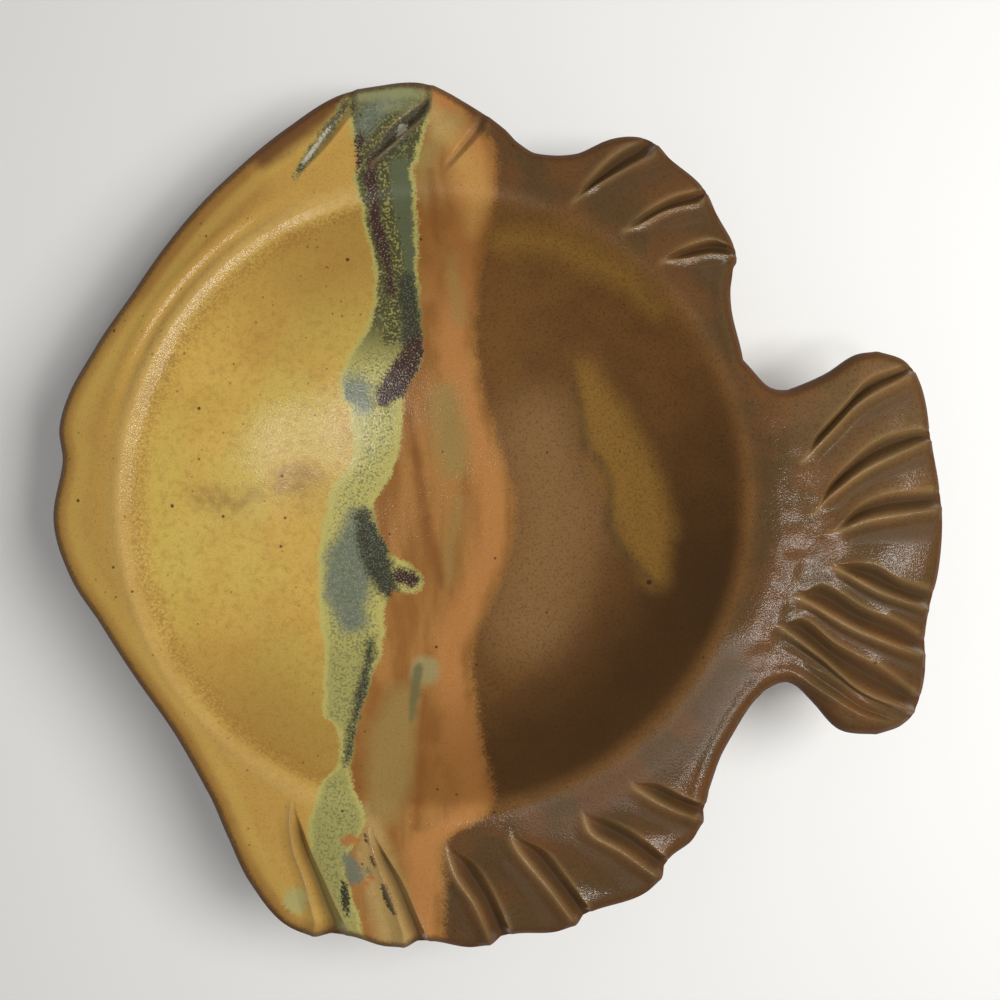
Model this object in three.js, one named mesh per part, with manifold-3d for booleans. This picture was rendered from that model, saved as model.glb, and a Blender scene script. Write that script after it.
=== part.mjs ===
// A fish-shaped stoneware dish: a thrown round bowl with slabs luted to its lip for head, fins and tail,
// a foot ring, and four glazes poured over it. Millimetres, +Z up, the tail towards +X, the back towards +Y.

import * as THREE from 'three';
import { mergeVertices } from 'three/addons/utils/BufferGeometryUtils.js';
import Module from 'manifold-3d';

const wasm = await Module();
wasm.setup();

// Driving dimensions of the clay
const WELL_RADIUS = 98; // circle where the wall of the well meets the plane of the rim
const WELL_DEPTH = 34;
const WELL_FULLNESS = 2.6; // power of the well's curve: higher is a flatter floor and a steeper wall
const LIP_LAND = 3; // from the wall of the well out to where the slabs are luted on
const LIP_ROUNDING = 1.5; // how softly the wall turns over into the rim
const CLAY_THICKNESS = 6.5;
const EDGE_ROUNDING = 4.5; // how far in from the outline the rounded edge reaches
const EDGE_LAND = 0.3; // flat left in the middle of the rounded edge
const FOOT_CLEARANCE = 5; // height of the bowl's bottom above the table
const FOOT_RADIUS = 63; // outer radius of the foot ring where it stands
const FOOT_WIDTH = 8;
const FOOT_FLARE = 3; // how much the ring leans in under the bowl
const FOOT_CORNER = 1; // bevel of the edges that stand on the table
const LUTE_GAP = 0.3; // joint of slip between two clay pieces

// Driving dimensions of the flutes
const FLUTE_DEPTH = 2.4;
const FLUTE_STEEP_WIDTH = 4; // steep side of a groove, clockwise of its line
const FLUTE_GENTLE_WIDTH = 13; // gentle side of a groove
const FLUTE_THROUGH = 0.4; // share of a groove that shows on the underside
const FIN_FLUTE_START = 5; // distance from the lip where the grooves of the fins set in
const TAIL_FLUTE_START = 13;
const FLUTE_FADE = 10; // length over which a groove reaches its depth
const FIN_NOTCH = 2.8; // how far a groove of a fin cuts into the outline
const TAIL_NOTCH = 1;

// Driving dimensions of the glaze
const GLAZE_THICKNESS = 0.8;
const GLAZE_GAP = 0.15; // between clay and glaze
const GLAZE_JOINT = 0.2; // between two glazes
const GLAZE_LINE = 4; // bare clay between the foot ring and the glaze outside

// Outline of the rim: angle about the bowl in degrees, distance out from the lip
const RIM_OUTLINE = [
  [25, 5.2], [32, 8.7], [36, 12], [40, 22.5], [44, 25], [50, 30], [60, 32], [64, 27.6], [68, 17.2],
  [74, 12.7], [80, 19], [86, 27], [92, 32.4], [104, 32], [112, 27], [124, 21.2], [144, 15.7], [156, 17.8],
  [166, 21.6], [174, 18.8], [183, 21.6], [192, 18], [200, 12.6], [212, 9.6], [222, 10.3], [232, 16.8],
  [238, 24.8], [244, 34.8], [251, 43], [264, 41.5], [290, 40], [298, 39], [304, 35.7], [308, 31.8],
  [312, 28], [318, 19.8], [330, 16],
];
// Tail: its end as angle and distance out, its two sides as distance out and angle
const TAIL_END = [
  [-27.7, 56], [-25.5, 61.6], [-23, 63.5], [-20, 62], [-14, 57.6], [-6, 57.7], [6, 55.9], [13.6, 55.3],
  [16.7, 52.2], [18.6, 45.5],
];
const TAIL_LOWER_SIDE = [[16, -30], [19, -27.5], [25, -27], [38, -28.2], [46, -29], [56, -27.7]];
const TAIL_UPPER_SIDE = [
  [5.2, 25], [8.9, 19.6], [14.2, 17.5], [20, 17.4], [29.4, 17.9], [39.2, 19], [45.5, 18.6],
];
// Lift of the rim per millimetre out from the lip, by angle: the head droops and the tail rises
const RIM_LIFT = [
  [-60, 0], [0, 0.06], [60, -0.02], [110, -0.06], [175, -0.15], [230, -0.1], [300, 0], [360, 0.06],
];

// Slabs in order round the lip, with their borders in degrees, and their grooves as the angle where each one
// starts at the lip and the angle where it ends at the outline
const SLABS = [
  { name: 'tail_fin', from: -30, to: 25, sides: 'free', start: TAIL_FLUTE_START, notch: TAIL_NOTCH,
    grooves: [[-25.5, -25.4], [-19, -22.5], [-13.5, -18], [-8.5, -12.5], [-3, -0.5], [3, 7], [12.5, 14.5]] },
  { name: 'rear_dorsal_fin', from: 25, to: 74, start: FIN_FLUTE_START, notch: FIN_NOTCH,
    grooves: [[50.5, 41.5], [59, 52.5], [68.5, 62]] },
  { name: 'front_dorsal_fin', from: 74, to: 124, start: FIN_FLUTE_START, notch: FIN_NOTCH,
    grooves: [[90.5, 83.5], [106, 89], [120.5, 101.5]] },
  { name: 'head_rim', from: 124, to: 232, start: FIN_FLUTE_START, notch: FIN_NOTCH, grooves: [] },
  { name: 'ventral_fin', from: 232, to: 330, start: FIN_FLUTE_START, notch: FIN_NOTCH,
    grooves: [[241.5, 257.5], [256.5, 268.5], [271, 278.7], [284.5, 290.5], [294.5, 303], [306, 311.5]] },
];

// Borders between the glazes on top: points from back to belly, as y and x from the bowl's axis
const RUN_LEFT = [[140, -22], [100, -22], [60, -24], [35, -32], [0, -40], [-20, -44], [-55, -40], [-90, -36],
  [-110, -38], [-150, -34]];
const RUN_RIGHT = [[140, -6], [100, -6], [60, -6], [35, -8], [0, -21], [-22, -8], [-55, -22], [-90, -26],
  [-110, -24], [-150, -10]];
const OVERLAP_RIGHT = [[140, 20], [85, 19], [60, 14], [30, 17], [-5, 25], [-35, 19], [-65, 13], [-95, 17],
  [-115, 6], [-150, 2]];

// Fineness of the surfaces
const WELL_RINGS = [0.26, 0.48, 0.68, 0.84, 0.94]; // rings between the middle of the well and the lip
const OUTSIDE_RINGS = [0.72, 0.84, 0.94]; // rings of the glaze outside
const RIM_ROWS = [0.4, 1]; // rows between the lip and the rounded edge
const TAIL_ROWS = [0.1, 0.26, 0.6, 1]; // rows between the tail's root and its end
const EDGE_ROWS = [0.35]; // rows within the rounded edge
const FIN_COLUMN_ANGLE = 4.2; // degrees from one line of points to the next on the fins
const HEAD_COLUMN_ANGLE = 7.5;
const FEWEST_COLUMNS = 3; // lines from one groove to the next
const RIDGE_SHARE = 0.8; // place of the ridge between one groove and the next
const FOOT_SEGMENTS = 56;
const ZONE_STEPS = 22; // steps along a border between glazes

const LIP_RADIUS = WELL_RADIUS + LIP_LAND;
const RIM_HEIGHT = FOOT_CLEARANCE + CLAY_THICKNESS + WELL_DEPTH;
const ZONE_REACH = 2 * LIP_RADIUS; // further out than any part of the rim
const ZONE_HEIGHT = 2 * RIM_HEIGHT; // higher than any part of the rim
const SLOPE_STEP = LIP_RADIUS / 10000; // short way over which a slope is taken
const { lerp, clamp, degToRad, smoothstep } = THREE.MathUtils;

// A smooth curve through points given as [position, value]
function curveThrough(points) {
  const tangents = points.map((point, i) => {
    const before = points[Math.max(i - 1, 0)];
    const after = points[Math.min(i + 1, points.length - 1)];
    return (after[1] - before[1]) / (after[0] - before[0]);
  });
  return (position) => {
    const x = clamp(position, points[0][0], points.at(-1)[0]);
    const i = clamp(points.findIndex((point) => point[0] > x) - 1, 0, points.length - 2);
    const k = points.at(-1)[0] === x ? points.length - 2 : i;
    const [x0, y0] = points[k];
    const [x1, y1] = points[k + 1];
    const width = x1 - x0;
    const t = (x - x0) / width;
    const rise = y1 - y0;
    const bend0 = tangents[k] * width - rise;
    const bend1 = rise - tangents[k + 1] * width;
    return y0 + rise * t + t * (1 - t) * (bend0 * (1 - t) + bend1 * t);
  };
}

const rimReach = curveThrough(RIM_OUTLINE);
const tailReach = curveThrough(TAIL_END);
const tailLowerSide = curveThrough(TAIL_LOWER_SIDE);
const tailUpperSide = curveThrough(TAIL_UPPER_SIDE);
const rimLift = curveThrough(RIM_LIFT);
const TAIL_TIP_FROM = TAIL_END[0][0];
const TAIL_TIP_TO = TAIL_END.at(-1)[0];

// Height of the top of the clay on the bowl's section, without lift or flutes
function sectionHeight(radius) {
  const wall = WELL_DEPTH * ((radius / WELL_RADIUS) ** WELL_FULLNESS - 1);
  return RIM_HEIGHT - LIP_ROUNDING * Math.log(1 + Math.exp(-wall / LIP_ROUNDING));
}

// How much thicker the clay is upright than square to its surface
function sectionSlant(radius) {
  const inner = sectionHeight(Math.max(radius - SLOPE_STEP, 0));
  const slope = (sectionHeight(radius + SLOPE_STEP) - inner) / (2 * SLOPE_STEP);
  return Math.sqrt(1 + slope * slope);
}

// Depth of a groove at a distance from its line, as a share: a V with one steep and one gentle side
function grooveShare(distance, steepWidth, gentleWidth) {
  const width = distance < 0 ? steepWidth : gentleWidth;
  return Math.max(0, 1 - Math.abs(distance) / width) ** 2;
}

// Angle of a slab's line at a distance out from the lip, from its shares across the slab at lip and outline
function lineAngle(slab, line, out, along) {
  const low = slab.sides ? tailLowerSide(out) : slab.from;
  const high = slab.sides ? tailUpperSide(out) : slab.to;
  return lerp(low, high, lerp(line.root, line.tip, along));
}

// Shares from one groove to the next where lines of points run, the last one on the ridge
function lineSteps(slab, width) {
  if (!slab.grooves.length) {
    const count = Math.round(width / HEAD_COLUMN_ANGLE);
    return Array.from({ length: count }, (_, i) => i / count);
  }
  const count = Math.max(FEWEST_COLUMNS, Math.round(width / FIN_COLUMN_ANGLE));
  return Array.from({ length: count }, (_, i) => RIDGE_SHARE * i / (count - 1));
}

// Lines of a slab from lip to outline: its two borders, its grooves, and more between them
function slabLines(slab) {
  const tipFrom = slab.sides ? TAIL_TIP_FROM : slab.from;
  const tipTo = slab.sides ? TAIL_TIP_TO : slab.to;
  const share = (angle, from, to) => (angle - from) / (to - from);
  slab.grooveLines = slab.grooves.map(([root, tip]) => (
    { root: share(root, slab.from, slab.to), tip: share(tip, tipFrom, tipTo) }));
  const knots = [{ root: 0, tip: 0 }, ...slab.grooveLines, { root: 1, tip: 1 }];
  const lines = knots.slice(0, -1).flatMap((knot, k) => {
    const next = knots[k + 1];
    return lineSteps(slab, (next.tip - knot.tip) * (tipTo - tipFrom)).map((step) => (
      { root: lerp(knot.root, next.root, step), tip: lerp(knot.tip, next.tip, step) }));
  });
  lines.push(knots.at(-1));
  for (const line of lines) {
    line.slab = slab;
    line.reach = outlineReach(slab, line, tipFrom, tipTo);
    line.rootReach = slab.sides ? lerp(TAIL_LOWER_SIDE[0][0], TAIL_UPPER_SIDE[0][0], line.root) : line.reach;
  }
  return lines;
}

// How far a line reaches out from the lip, with the notches that the grooves cut into the outline
function outlineReach(slab, line, tipFrom, tipTo) {
  const tipAngle = lerp(tipFrom, tipTo, line.tip);
  const reach = slab.sides ? tailReach(tipAngle) : rimReach(tipAngle);
  const notch = slab.grooveLines.map((groove) => {
    const apart = degToRad((line.tip - groove.tip) * (tipTo - tipFrom)) * (LIP_RADIUS + reach);
    return grooveShare(apart, FLUTE_STEEP_WIDTH, FLUTE_GENTLE_WIDTH);
  });
  return reach - slab.notch * Math.max(0, ...notch);
}

// Distances out from the lip of the rows on a line, from just past the lip to the outline
function rowsTo(reach, rows) {
  const edge = Math.min(EDGE_ROUNDING, reach / 2);
  return [...rows.map((row) => row * (reach - edge)), ...EDGE_ROWS.map((row) => reach - edge * row), reach];
}

// One point of the dish seen from above, on a slab's line
function rimPoint(line, out) {
  const angle = degToRad(lineAngle(line.slab, line, out, clamp(out / line.reach, 0, 1)));
  const radius = LIP_RADIUS + out;
  const cut = grooveCut(line.slab, angle, out, line);
  return { x: radius * Math.cos(angle), y: radius * Math.sin(angle), cut };
}

// Depth cut by the grooves of a slab at a point
function grooveCut(slab, angle, out, line) {
  const fade = smoothstep(out, slab.start, slab.start + FLUTE_FADE);
  const along = clamp(out / line.reach, 0, 1);
  const shares = slab.grooveLines.map((groove) => {
    const apart = (angle - degToRad(lineAngle(slab, groove, out, along))) * (LIP_RADIUS + out);
    return grooveShare(apart, FLUTE_STEEP_WIDTH, FLUTE_GENTLE_WIDTH);
  });
  return FLUTE_DEPTH * fade * Math.max(0, ...shares);
}

for (const slab of SLABS) {
  slab.lines = slabLines(slab);
}

// The rim seen from above: every slab's rows of points, and the tail's rows beyond its root
for (const slab of SLABS) {
  slab.rimRows = slab.lines.map((line) => rimRowsOf(line));
  slab.tailRows = slab.lines.map((line) => (slab.sides ? tailRowsOf(line) : []));
}

function rimRowsOf(line) {
  const rows = [0, ...rowsTo(line.rootReach, RIM_ROWS)];
  return rows.map((row) => rimPoint(line, row));
}

function tailRowsOf(line) {
  const length = line.reach - line.rootReach;
  return rowsTo(length, TAIL_ROWS).map((row) => rimPoint(line, line.rootReach + row));
}

// Outline of the dish seen from above, once round
const outline = SLABS.flatMap((slab) => {
  if (!slab.sides) {
    return slab.rimRows.slice(0, -1).map((rows) => rows.at(-1));
  }
  const lowerSide = [slab.rimRows[0].at(-1), ...slab.tailRows[0]];
  const upperSide = [slab.rimRows.at(-1).at(-1), ...slab.tailRows.at(-1)].reverse();
  return [...lowerSide, ...slab.tailRows.slice(1, -1).map((rows) => rows.at(-1)), ...upperSide.slice(0, -1)];
});

// Way out of the dish at each corner of the outline, midway between those of its two sides
outline.forEach((corner, i) => {
  const before = outline.at(i - 1);
  const after = outline[(i + 1) % outline.length];
  const wayIn = new THREE.Vector2(corner.y - before.y, before.x - corner.x).normalize();
  const wayOut = new THREE.Vector2(after.y - corner.y, corner.x - after.x).normalize();
  corner.out = wayIn.add(wayOut).normalize();
});

// Distance from a point to the outline, and the way out of the dish there
function nearestEdge(point) {
  let best = { distance: Infinity };
  outline.forEach((start, i) => {
    const end = outline[(i + 1) % outline.length];
    const sideX = end.x - start.x;
    const sideY = end.y - start.y;
    const along = ((point.x - start.x) * sideX + (point.y - start.y) * sideY) / (sideX ** 2 + sideY ** 2);
    const t = clamp(along, 0, 1);
    const distance = Math.hypot(point.x - start.x - t * sideX, point.y - start.y - t * sideY);
    if (distance < best.distance) {
      best = { distance, out: start.out.clone().lerp(end.out, t) };
    }
  });
  return best;
}

// A point on the top or the underside of the clay, or that far out from it by the skin
function surfacePoint(point, side, skin) {
  if (point.from) {
    return surfacePoint(point.from, side, skin).lerp(surfacePoint(point.to, side, skin), point.share);
  }
  const edge = nearestEdge(point);
  const inward = Math.min(edge.distance / EDGE_ROUNDING, 1);
  const x = point.x + edge.out.x * skin * (1 - inward);
  const y = point.y + edge.out.y * skin * (1 - inward);
  const radius = Math.hypot(point.x, point.y);
  const slant = sectionSlant(radius);
  const angle = THREE.MathUtils.radToDeg(Math.atan2(point.y, point.x));
  const lift = rimLift(angle < RIM_LIFT[0][0] ? angle + 360 : angle) * Math.max(0, radius - LIP_RADIUS);
  const cut = point.cut ?? 0;
  const middle = sectionHeight(radius) + lift - (CLAY_THICKNESS * slant + cut * (1 + FLUTE_THROUGH)) / 2;
  const full = (CLAY_THICKNESS / 2 + skin) * slant - cut * (1 - FLUTE_THROUGH) / 2;
  const depth = (edge.distance + skin * inward) / (EDGE_ROUNDING + skin);
  const half = depth < 1 ? full * Math.sqrt(1 - (1 - depth) ** 2) : full;
  return new THREE.Vector3(x, y, middle + side * Math.max(half, EDGE_LAND / 2));
}

const TOP = 1;
const UNDERSIDE = -1;

// A closed solid between two sheets over the same faces, with walls along the faces' open edges
function sheetSolid(upper, lower, faces) {
  const count = upper.length;
  const triangles = [];
  const openEdges = new Map();
  for (const face of faces) {
    for (let k = 2; k < face.length; k += 1) {
      triangles.push(face[0], face[k - 1], face[k]);
      triangles.push(face[0] + count, face[k] + count, face[k - 1] + count);
    }
    face.forEach((a, k) => {
      const b = face[(k + 1) % face.length];
      if (!openEdges.delete(`${b},${a}`)) {
        openEdges.set(`${a},${b}`, [a, b]);
      }
    });
  }
  for (const [a, b] of openEdges.values()) {
    triangles.push(b, a, a + count, b, a + count, b + count);
  }
  const geometry = new THREE.BufferGeometry().setFromPoints([...upper, ...lower]);
  geometry.setIndex(triangles);
  return geometry;
}

// A list of points and the faces over them, where a row of points joins the row before it
class Net {
  points = [];

  faces = [];

  addRow(points) {
    this.points.push(...points);
    return points.map((_, i) => this.points.length - points.length + i);
  }

  joinRows(inner, outer, closed) {
    const steps = closed ? inner.length : inner.length - 1;
    for (let i = 0; i < steps; i += 1) {
      const next = (i + 1) % inner.length;
      this.faces.push([inner[i], outer[i], outer[next], inner[next]]);
    }
  }

  solid(upperSide, upperSkin, lowerSide, lowerSkin) {
    const upper = this.points.map((point) => surfacePoint(point, upperSide, upperSkin));
    const lower = this.points.map((point) => surfacePoint(point, lowerSide, lowerSkin));
    return sheetSolid(upper, lower, this.faces);
  }
}

// All lines once round the lip
const roundLines = SLABS.flatMap((slab) => slab.lines.slice(0, -1));

// A ring of points inside the lip, in step with the lines
function ringPoints(radius) {
  return roundLines.map((line) => {
    const angle = degToRad(lineAngle(line.slab, line, 0, 0));
    return { x: radius * Math.cos(angle), y: radius * Math.sin(angle) };
  });
}

// Rings inside the lip, closed by a fan in the middle where they start there
function addRings(net, radii, withMiddle) {
  const rings = radii.map((radius) => net.addRow(ringPoints(radius)));
  if (withMiddle) {
    const [middle] = net.addRow([{ x: 0, y: 0 }]);
    rings[0].forEach((point, i) => net.faces.push([middle, point, rings[0][(i + 1) % rings[0].length]]));
  }
  rings.slice(1).forEach((ring, i) => net.joinRows(rings[i], ring, true));
  return rings.at(-1);
}

// The whole rim with its tail, outside the ring given
function addRim(net, lipRing) {
  const rowCount = SLABS[0].rimRows[0].length;
  let inner = lipRing;
  for (let row = 1; row < rowCount; row += 1) {
    const outer = net.addRow(SLABS.flatMap((slab) => slab.rimRows.slice(0, -1).map((rows) => rows[row])));
    net.joinRows(inner, outer, true);
    inner = outer;
  }
  let start = 0;
  for (const slab of SLABS) {
    const root = slab.lines.map((_, i) => inner[(start + i) % inner.length]);
    addTail(net, slab, root);
    start += slab.lines.length - 1;
  }
}

function addTail(net, slab, root) {
  let inner = root;
  for (let row = 0; row < slab.tailRows[0].length; row += 1) {
    const outer = net.addRow(slab.tailRows.map((rows) => rows[row]));
    net.joinRows(inner, outer, false);
    inner = outer;
  }
}

// Clay pieces

function bowlWell() {
  const net = new Net();
  addRings(net, [...WELL_RINGS.map((ring) => ring * LIP_RADIUS), LIP_RADIUS - LUTE_GAP], true);
  return net.solid(TOP, 0, UNDERSIDE, 0);
}

// Height of the bowl's underside
function undersideHeight(radius) {
  return sectionHeight(radius) - CLAY_THICKNESS * sectionSlant(radius);
}

function footRing() {
  const inner = FOOT_RADIUS - FOOT_WIDTH;
  const topOuter = FOOT_RADIUS - FOOT_FLARE;
  const topInner = inner - FOOT_FLARE;
  const topMiddle = (topOuter + topInner) / 2;
  const seat = (radius) => undersideHeight(radius) - LUTE_GAP;
  const profile = [
    [inner + FOOT_CORNER, 0], [FOOT_RADIUS - FOOT_CORNER, 0], [FOOT_RADIUS, FOOT_CORNER],
    [topOuter, seat(topOuter)], [topMiddle, seat(topMiddle)], [topInner, seat(topInner)],
    [inner, FOOT_CORNER], [inner + FOOT_CORNER, 0],
  ];
  const geometry = new THREE.LatheGeometry(profile.map(([r, z]) => new THREE.Vector2(r, z)), FOOT_SEGMENTS);
  return geometry.rotateX(Math.PI / 2);
}

// A slab of the rim, its first border one joint of slip away from its neighbour
function rimSlab(slab) {
  const net = new Net();
  const pointOf = (row, i) => {
    const point = slab.rimRows[i][row];
    if (i > 0) {
      return point;
    }
    const next = slab.rimRows[1][row];
    const share = LUTE_GAP / Math.hypot(next.x - point.x, next.y - point.y);
    return { from: point, to: next, share };
  };
  let inner = net.addRow(slab.lines.map((_, i) => pointOf(0, i)));
  for (let row = 1; row < slab.rimRows[0].length; row += 1) {
    const outer = net.addRow(slab.lines.map((_, i) => pointOf(row, i)));
    net.joinRows(inner, outer, false);
    inner = outer;
  }
  addTail(net, slab, inner);
  return net.solid(TOP, 0, UNDERSIDE, 0);
}

// Glaze coats

const GLAZE_OUTER = GLAZE_GAP + GLAZE_THICKNESS;

function topCoat() {
  const net = new Net();
  addRim(net, addRings(net, [...WELL_RINGS.map((ring) => ring * LIP_RADIUS), LIP_RADIUS], true));
  return net.solid(TOP, GLAZE_OUTER, TOP, GLAZE_GAP);
}

function undersideCoat() {
  const net = new Net();
  const start = FOOT_RADIUS + GLAZE_LINE;
  const radii = OUTSIDE_RINGS.map((ring) => ring * LIP_RADIUS).filter((radius) => radius > start);
  addRim(net, addRings(net, [start, ...radii, LIP_RADIUS], false));
  return net.solid(UNDERSIDE, GLAZE_GAP, UNDERSIDE, GLAZE_OUTER);
}

// Booleans on closed meshes

function toManifold(geometry) {
  const merged = mergeVertices(geometry);
  const vertProperties = new Float32Array(merged.attributes.position.array);
  const triVerts = new Uint32Array(merged.index.array);
  return new wasm.Manifold(new wasm.Mesh({ numProp: 3, vertProperties, triVerts }));
}

function fromManifold(solid) {
  const mesh = solid.getMesh();
  const geometry = new THREE.BufferGeometry();
  geometry.setAttribute('position', new THREE.BufferAttribute(mesh.vertProperties, 3));
  geometry.setIndex(new THREE.BufferAttribute(mesh.triVerts, 1));
  return geometry;
}

// An upright block between two borders, each given as a curve of x along y
function zoneBlock(leftCurve, rightCurve) {
  const shares = Array.from({ length: ZONE_STEPS + 1 }, (_, i) => i / ZONE_STEPS);
  const steps = shares.map((share) => lerp(-ZONE_REACH, ZONE_REACH, share));
  const right = steps.map((y) => new THREE.Vector2(rightCurve(y), y));
  const left = steps.map((y) => new THREE.Vector2(leftCurve(y), y)).reverse();
  const shape = new THREE.Shape([...right, ...left]);
  const block = new THREE.ExtrudeGeometry(shape, { depth: ZONE_HEIGHT, bevelEnabled: false });
  block.deleteAttribute('normal');
  block.deleteAttribute('uv');
  return toManifold(block);
}

function borderCurve(points, shift) {
  const curve = curveThrough([...points].reverse());
  return (y) => curve(y) + shift;
}

function topGlazes() {
  const half = GLAZE_JOINT / 2;
  const coat = toManifold(topCoat());
  const zone = (left, right) => fromManifold(coat.intersect(zoneBlock(left, right)));
  return {
    glaze_ochre: zone(() => -ZONE_REACH, borderCurve(RUN_LEFT, -half)),
    glaze_run: zone(borderCurve(RUN_LEFT, half), borderCurve(RUN_RIGHT, -half)),
    glaze_overlap: zone(borderCurve(RUN_RIGHT, half), borderCurve(OVERLAP_RIGHT, -half)),
    glaze_brown: zone(borderCurve(OVERLAP_RIGHT, half), () => ZONE_REACH),
  };
}

// Materials and assembly

const CLAY = { color: 0x9a7a58, roughness: 0.85 };
const FINISHES = {
  bowl_well: CLAY,
  foot_ring: CLAY,
  glaze_ochre: { color: 0xb8954a, roughness: 0.35 },
  glaze_run: { color: 0x67684d, roughness: 0.3 },
  glaze_overlap: { color: 0xa4763a, roughness: 0.32 },
  glaze_brown: { color: 0x654523, roughness: 0.35 },
  glaze_underside: { color: 0x4a3018, roughness: 0.4 },
};

const dish = new THREE.Group();

function addPiece(name, geometry) {
  const material = new THREE.MeshStandardMaterial({ metalness: 0, ...(FINISHES[name] ?? CLAY) });
  const mesh = new THREE.Mesh(geometry, material);
  mesh.name = name;
  dish.add(mesh);
}

addPiece('bowl_well', bowlWell());
addPiece('foot_ring', footRing());
for (const slab of SLABS) {
  addPiece(slab.name, rimSlab(slab));
}
for (const [name, geometry] of Object.entries(topGlazes())) {
  addPiece(name, geometry);
}
addPiece('glaze_underside', undersideCoat());

// The origin is on the table under the middle of the dish
const box = new THREE.Box3().setFromObject(dish, true);
const middle = box.getCenter(new THREE.Vector3());
dish.position.set(-middle.x, -middle.y, -box.min.z);

export default dish;
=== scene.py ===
import math

import bmesh
import bpy
import numpy as np
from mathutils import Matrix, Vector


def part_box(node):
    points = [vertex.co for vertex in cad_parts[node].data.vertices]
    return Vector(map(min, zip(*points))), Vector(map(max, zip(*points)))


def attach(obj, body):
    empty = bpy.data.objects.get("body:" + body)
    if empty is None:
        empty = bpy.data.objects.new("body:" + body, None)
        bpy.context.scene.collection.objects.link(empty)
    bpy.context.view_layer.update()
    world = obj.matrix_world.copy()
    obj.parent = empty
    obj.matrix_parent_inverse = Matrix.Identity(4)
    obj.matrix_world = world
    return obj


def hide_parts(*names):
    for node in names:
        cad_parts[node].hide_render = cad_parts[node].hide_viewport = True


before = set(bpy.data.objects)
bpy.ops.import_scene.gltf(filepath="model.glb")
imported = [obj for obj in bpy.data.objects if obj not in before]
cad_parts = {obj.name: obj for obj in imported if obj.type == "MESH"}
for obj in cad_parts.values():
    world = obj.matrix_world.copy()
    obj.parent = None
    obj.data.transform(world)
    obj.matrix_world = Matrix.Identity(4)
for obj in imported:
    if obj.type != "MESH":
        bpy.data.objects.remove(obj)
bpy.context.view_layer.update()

# Sizes of the clay, in millimetres from the bowl's axis and from the table
WELL_RADIUS = 98.0
WELL_DEPTH = 34.0
WELL_FULLNESS = 2.6
LIP_LAND = 3.0
LIP_ROUNDING = 1.5
CLAY_THICKNESS = 6.5
EDGE_ROUNDING = 4.5
EDGE_FULLNESS = 2.6
FOOT_CLEARANCE = 5.0
FOOT_RADIUS = 63.0
FOOT_WIDTH = 8.0
FOOT_FLARE = 3.0
FOOT_CORNER = 1.0
LUTE_GAP = 0.3
GLAZE_THICKNESS = 0.8
GLAZE_GAP = 0.15
GLAZE_LINE = 4.0
LIP_RADIUS = WELL_RADIUS + LIP_LAND
RIM_HEIGHT = FOOT_CLEARANCE + CLAY_THICKNESS + WELL_DEPTH
GLAZE_OUTER = GLAZE_GAP + GLAZE_THICKNESS

# Folds pressed in the fins with a fingertip, each with a valley, a crest, a channel and a crisp edge, named
# counter-clockwise: their heights near the lip and at the outer end, how sharply each is creased (0 to 2),
# and the notches in the outline
FOLD_SHAPES = {
    "tail_fin": (
        (-0.5, 1.4, -2.4, 0.0), (0.3, 1.4, -2.4, -0.9), (0.2, 0.2, 0.3, 1.4), (0.0, 0.4, -0.7, -0.2)),
    "rear_dorsal_fin": (
        (0.6, 0.9, -2.2, 0.0), (0.4, 0.9, -2.0, 0.0), (0.0, 0.8, 0.3, 0.2), (0.8, 0.3, -0.5, 0.0)),
    "front_dorsal_fin": (
        (0.3, 0.8, -2.0, 0.1), (0.3, 0.8, -0.8, 0.1), (0.0, 0.8, 0.3, 0.4), (0.0, 0.0, 0.0, 0.2)),
    "head_rim": ((0.0,) * 4,) * 4,
    "ventral_fin": (
        (0.2, 0.9, -2.4, -0.5), (-0.7, 0.8, -2.4, 0.4), (0.0, 0.4, 0.3, 1.4), (0.0, 0.6, 2.0, 2.8)),
}
# Where the outer heights take over along a fold, the bead on its crest, how much of a channel shows on the
# underside, where its channel and valley lie between the lines, and how early and how wide it starts
OUTER_SHARE = (0.6, 0.95)
CREST_BEAD = 0.25
CHANNEL_THROUGH = 0.4
CHANNEL_PLACE = 0.55
VALLEY_PLACE = 0.45
VALLEY_WIDTH = 5.0
FOLD_LEAD = 2.0
FOLD_FADE = 11.0
FOLD_WIDTHS = (0.5, 4.0)
LEAST_GAP = 0.12
# Places of the crest and the crisp edge among a fold's lines, and where these two start to show
FOLD_LINES = 4
CREST = 1
CRISP_EDGE = 3
LINE_WIDTH = 1.1
LINE_STARTS = {CREST: (-3, 2), CRISP_EDGE: (0, 14)}

# Outline of the rim: angle in degrees and distance out from the lip; the tail's end, and its sides as
# distance out and angle; and how much the rim lifts for each millimetre out
RIM_OUTLINE = [
    (25, 5.4), (32, 9.2), (36, 14), (38.5, 19.8), (41, 22.8), (44, 25), (50, 29.2), (55, 30.6), (60, 31.6),
    (64, 27), (68, 17.8), (74, 13.6), (77.6, 15.6), (80, 19), (86, 25.8), (92, 32), (98, 32.4), (104, 31.8),
    (112, 27), (124, 21.3), (144, 16.5), (156, 18.6), (164, 21.6), (169, 22), (174, 19.2), (183, 21.8),
    (192, 18.2), (200, 12.8), (212, 9.6), (222, 10.3), (232, 16.8), (238, 24.8), (244, 34.8), (251, 43),
    (264, 41.5), (290, 40.2), (298, 39.2), (304, 35.6), (308, 32.2), (312, 29), (318, 21.4), (323, 18.2),
    (327, 17.2), (330, 18.2),
]
TAIL_END = [
    (-27.7, 56.6), (-25.5, 62.6), (-23, 64.4), (-20, 63), (-14, 58), (-8, 58.4), (0, 57.6), (6, 55.8),
    (13.6, 55.8), (16.7, 52.9), (18.6, 46),
]
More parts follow.
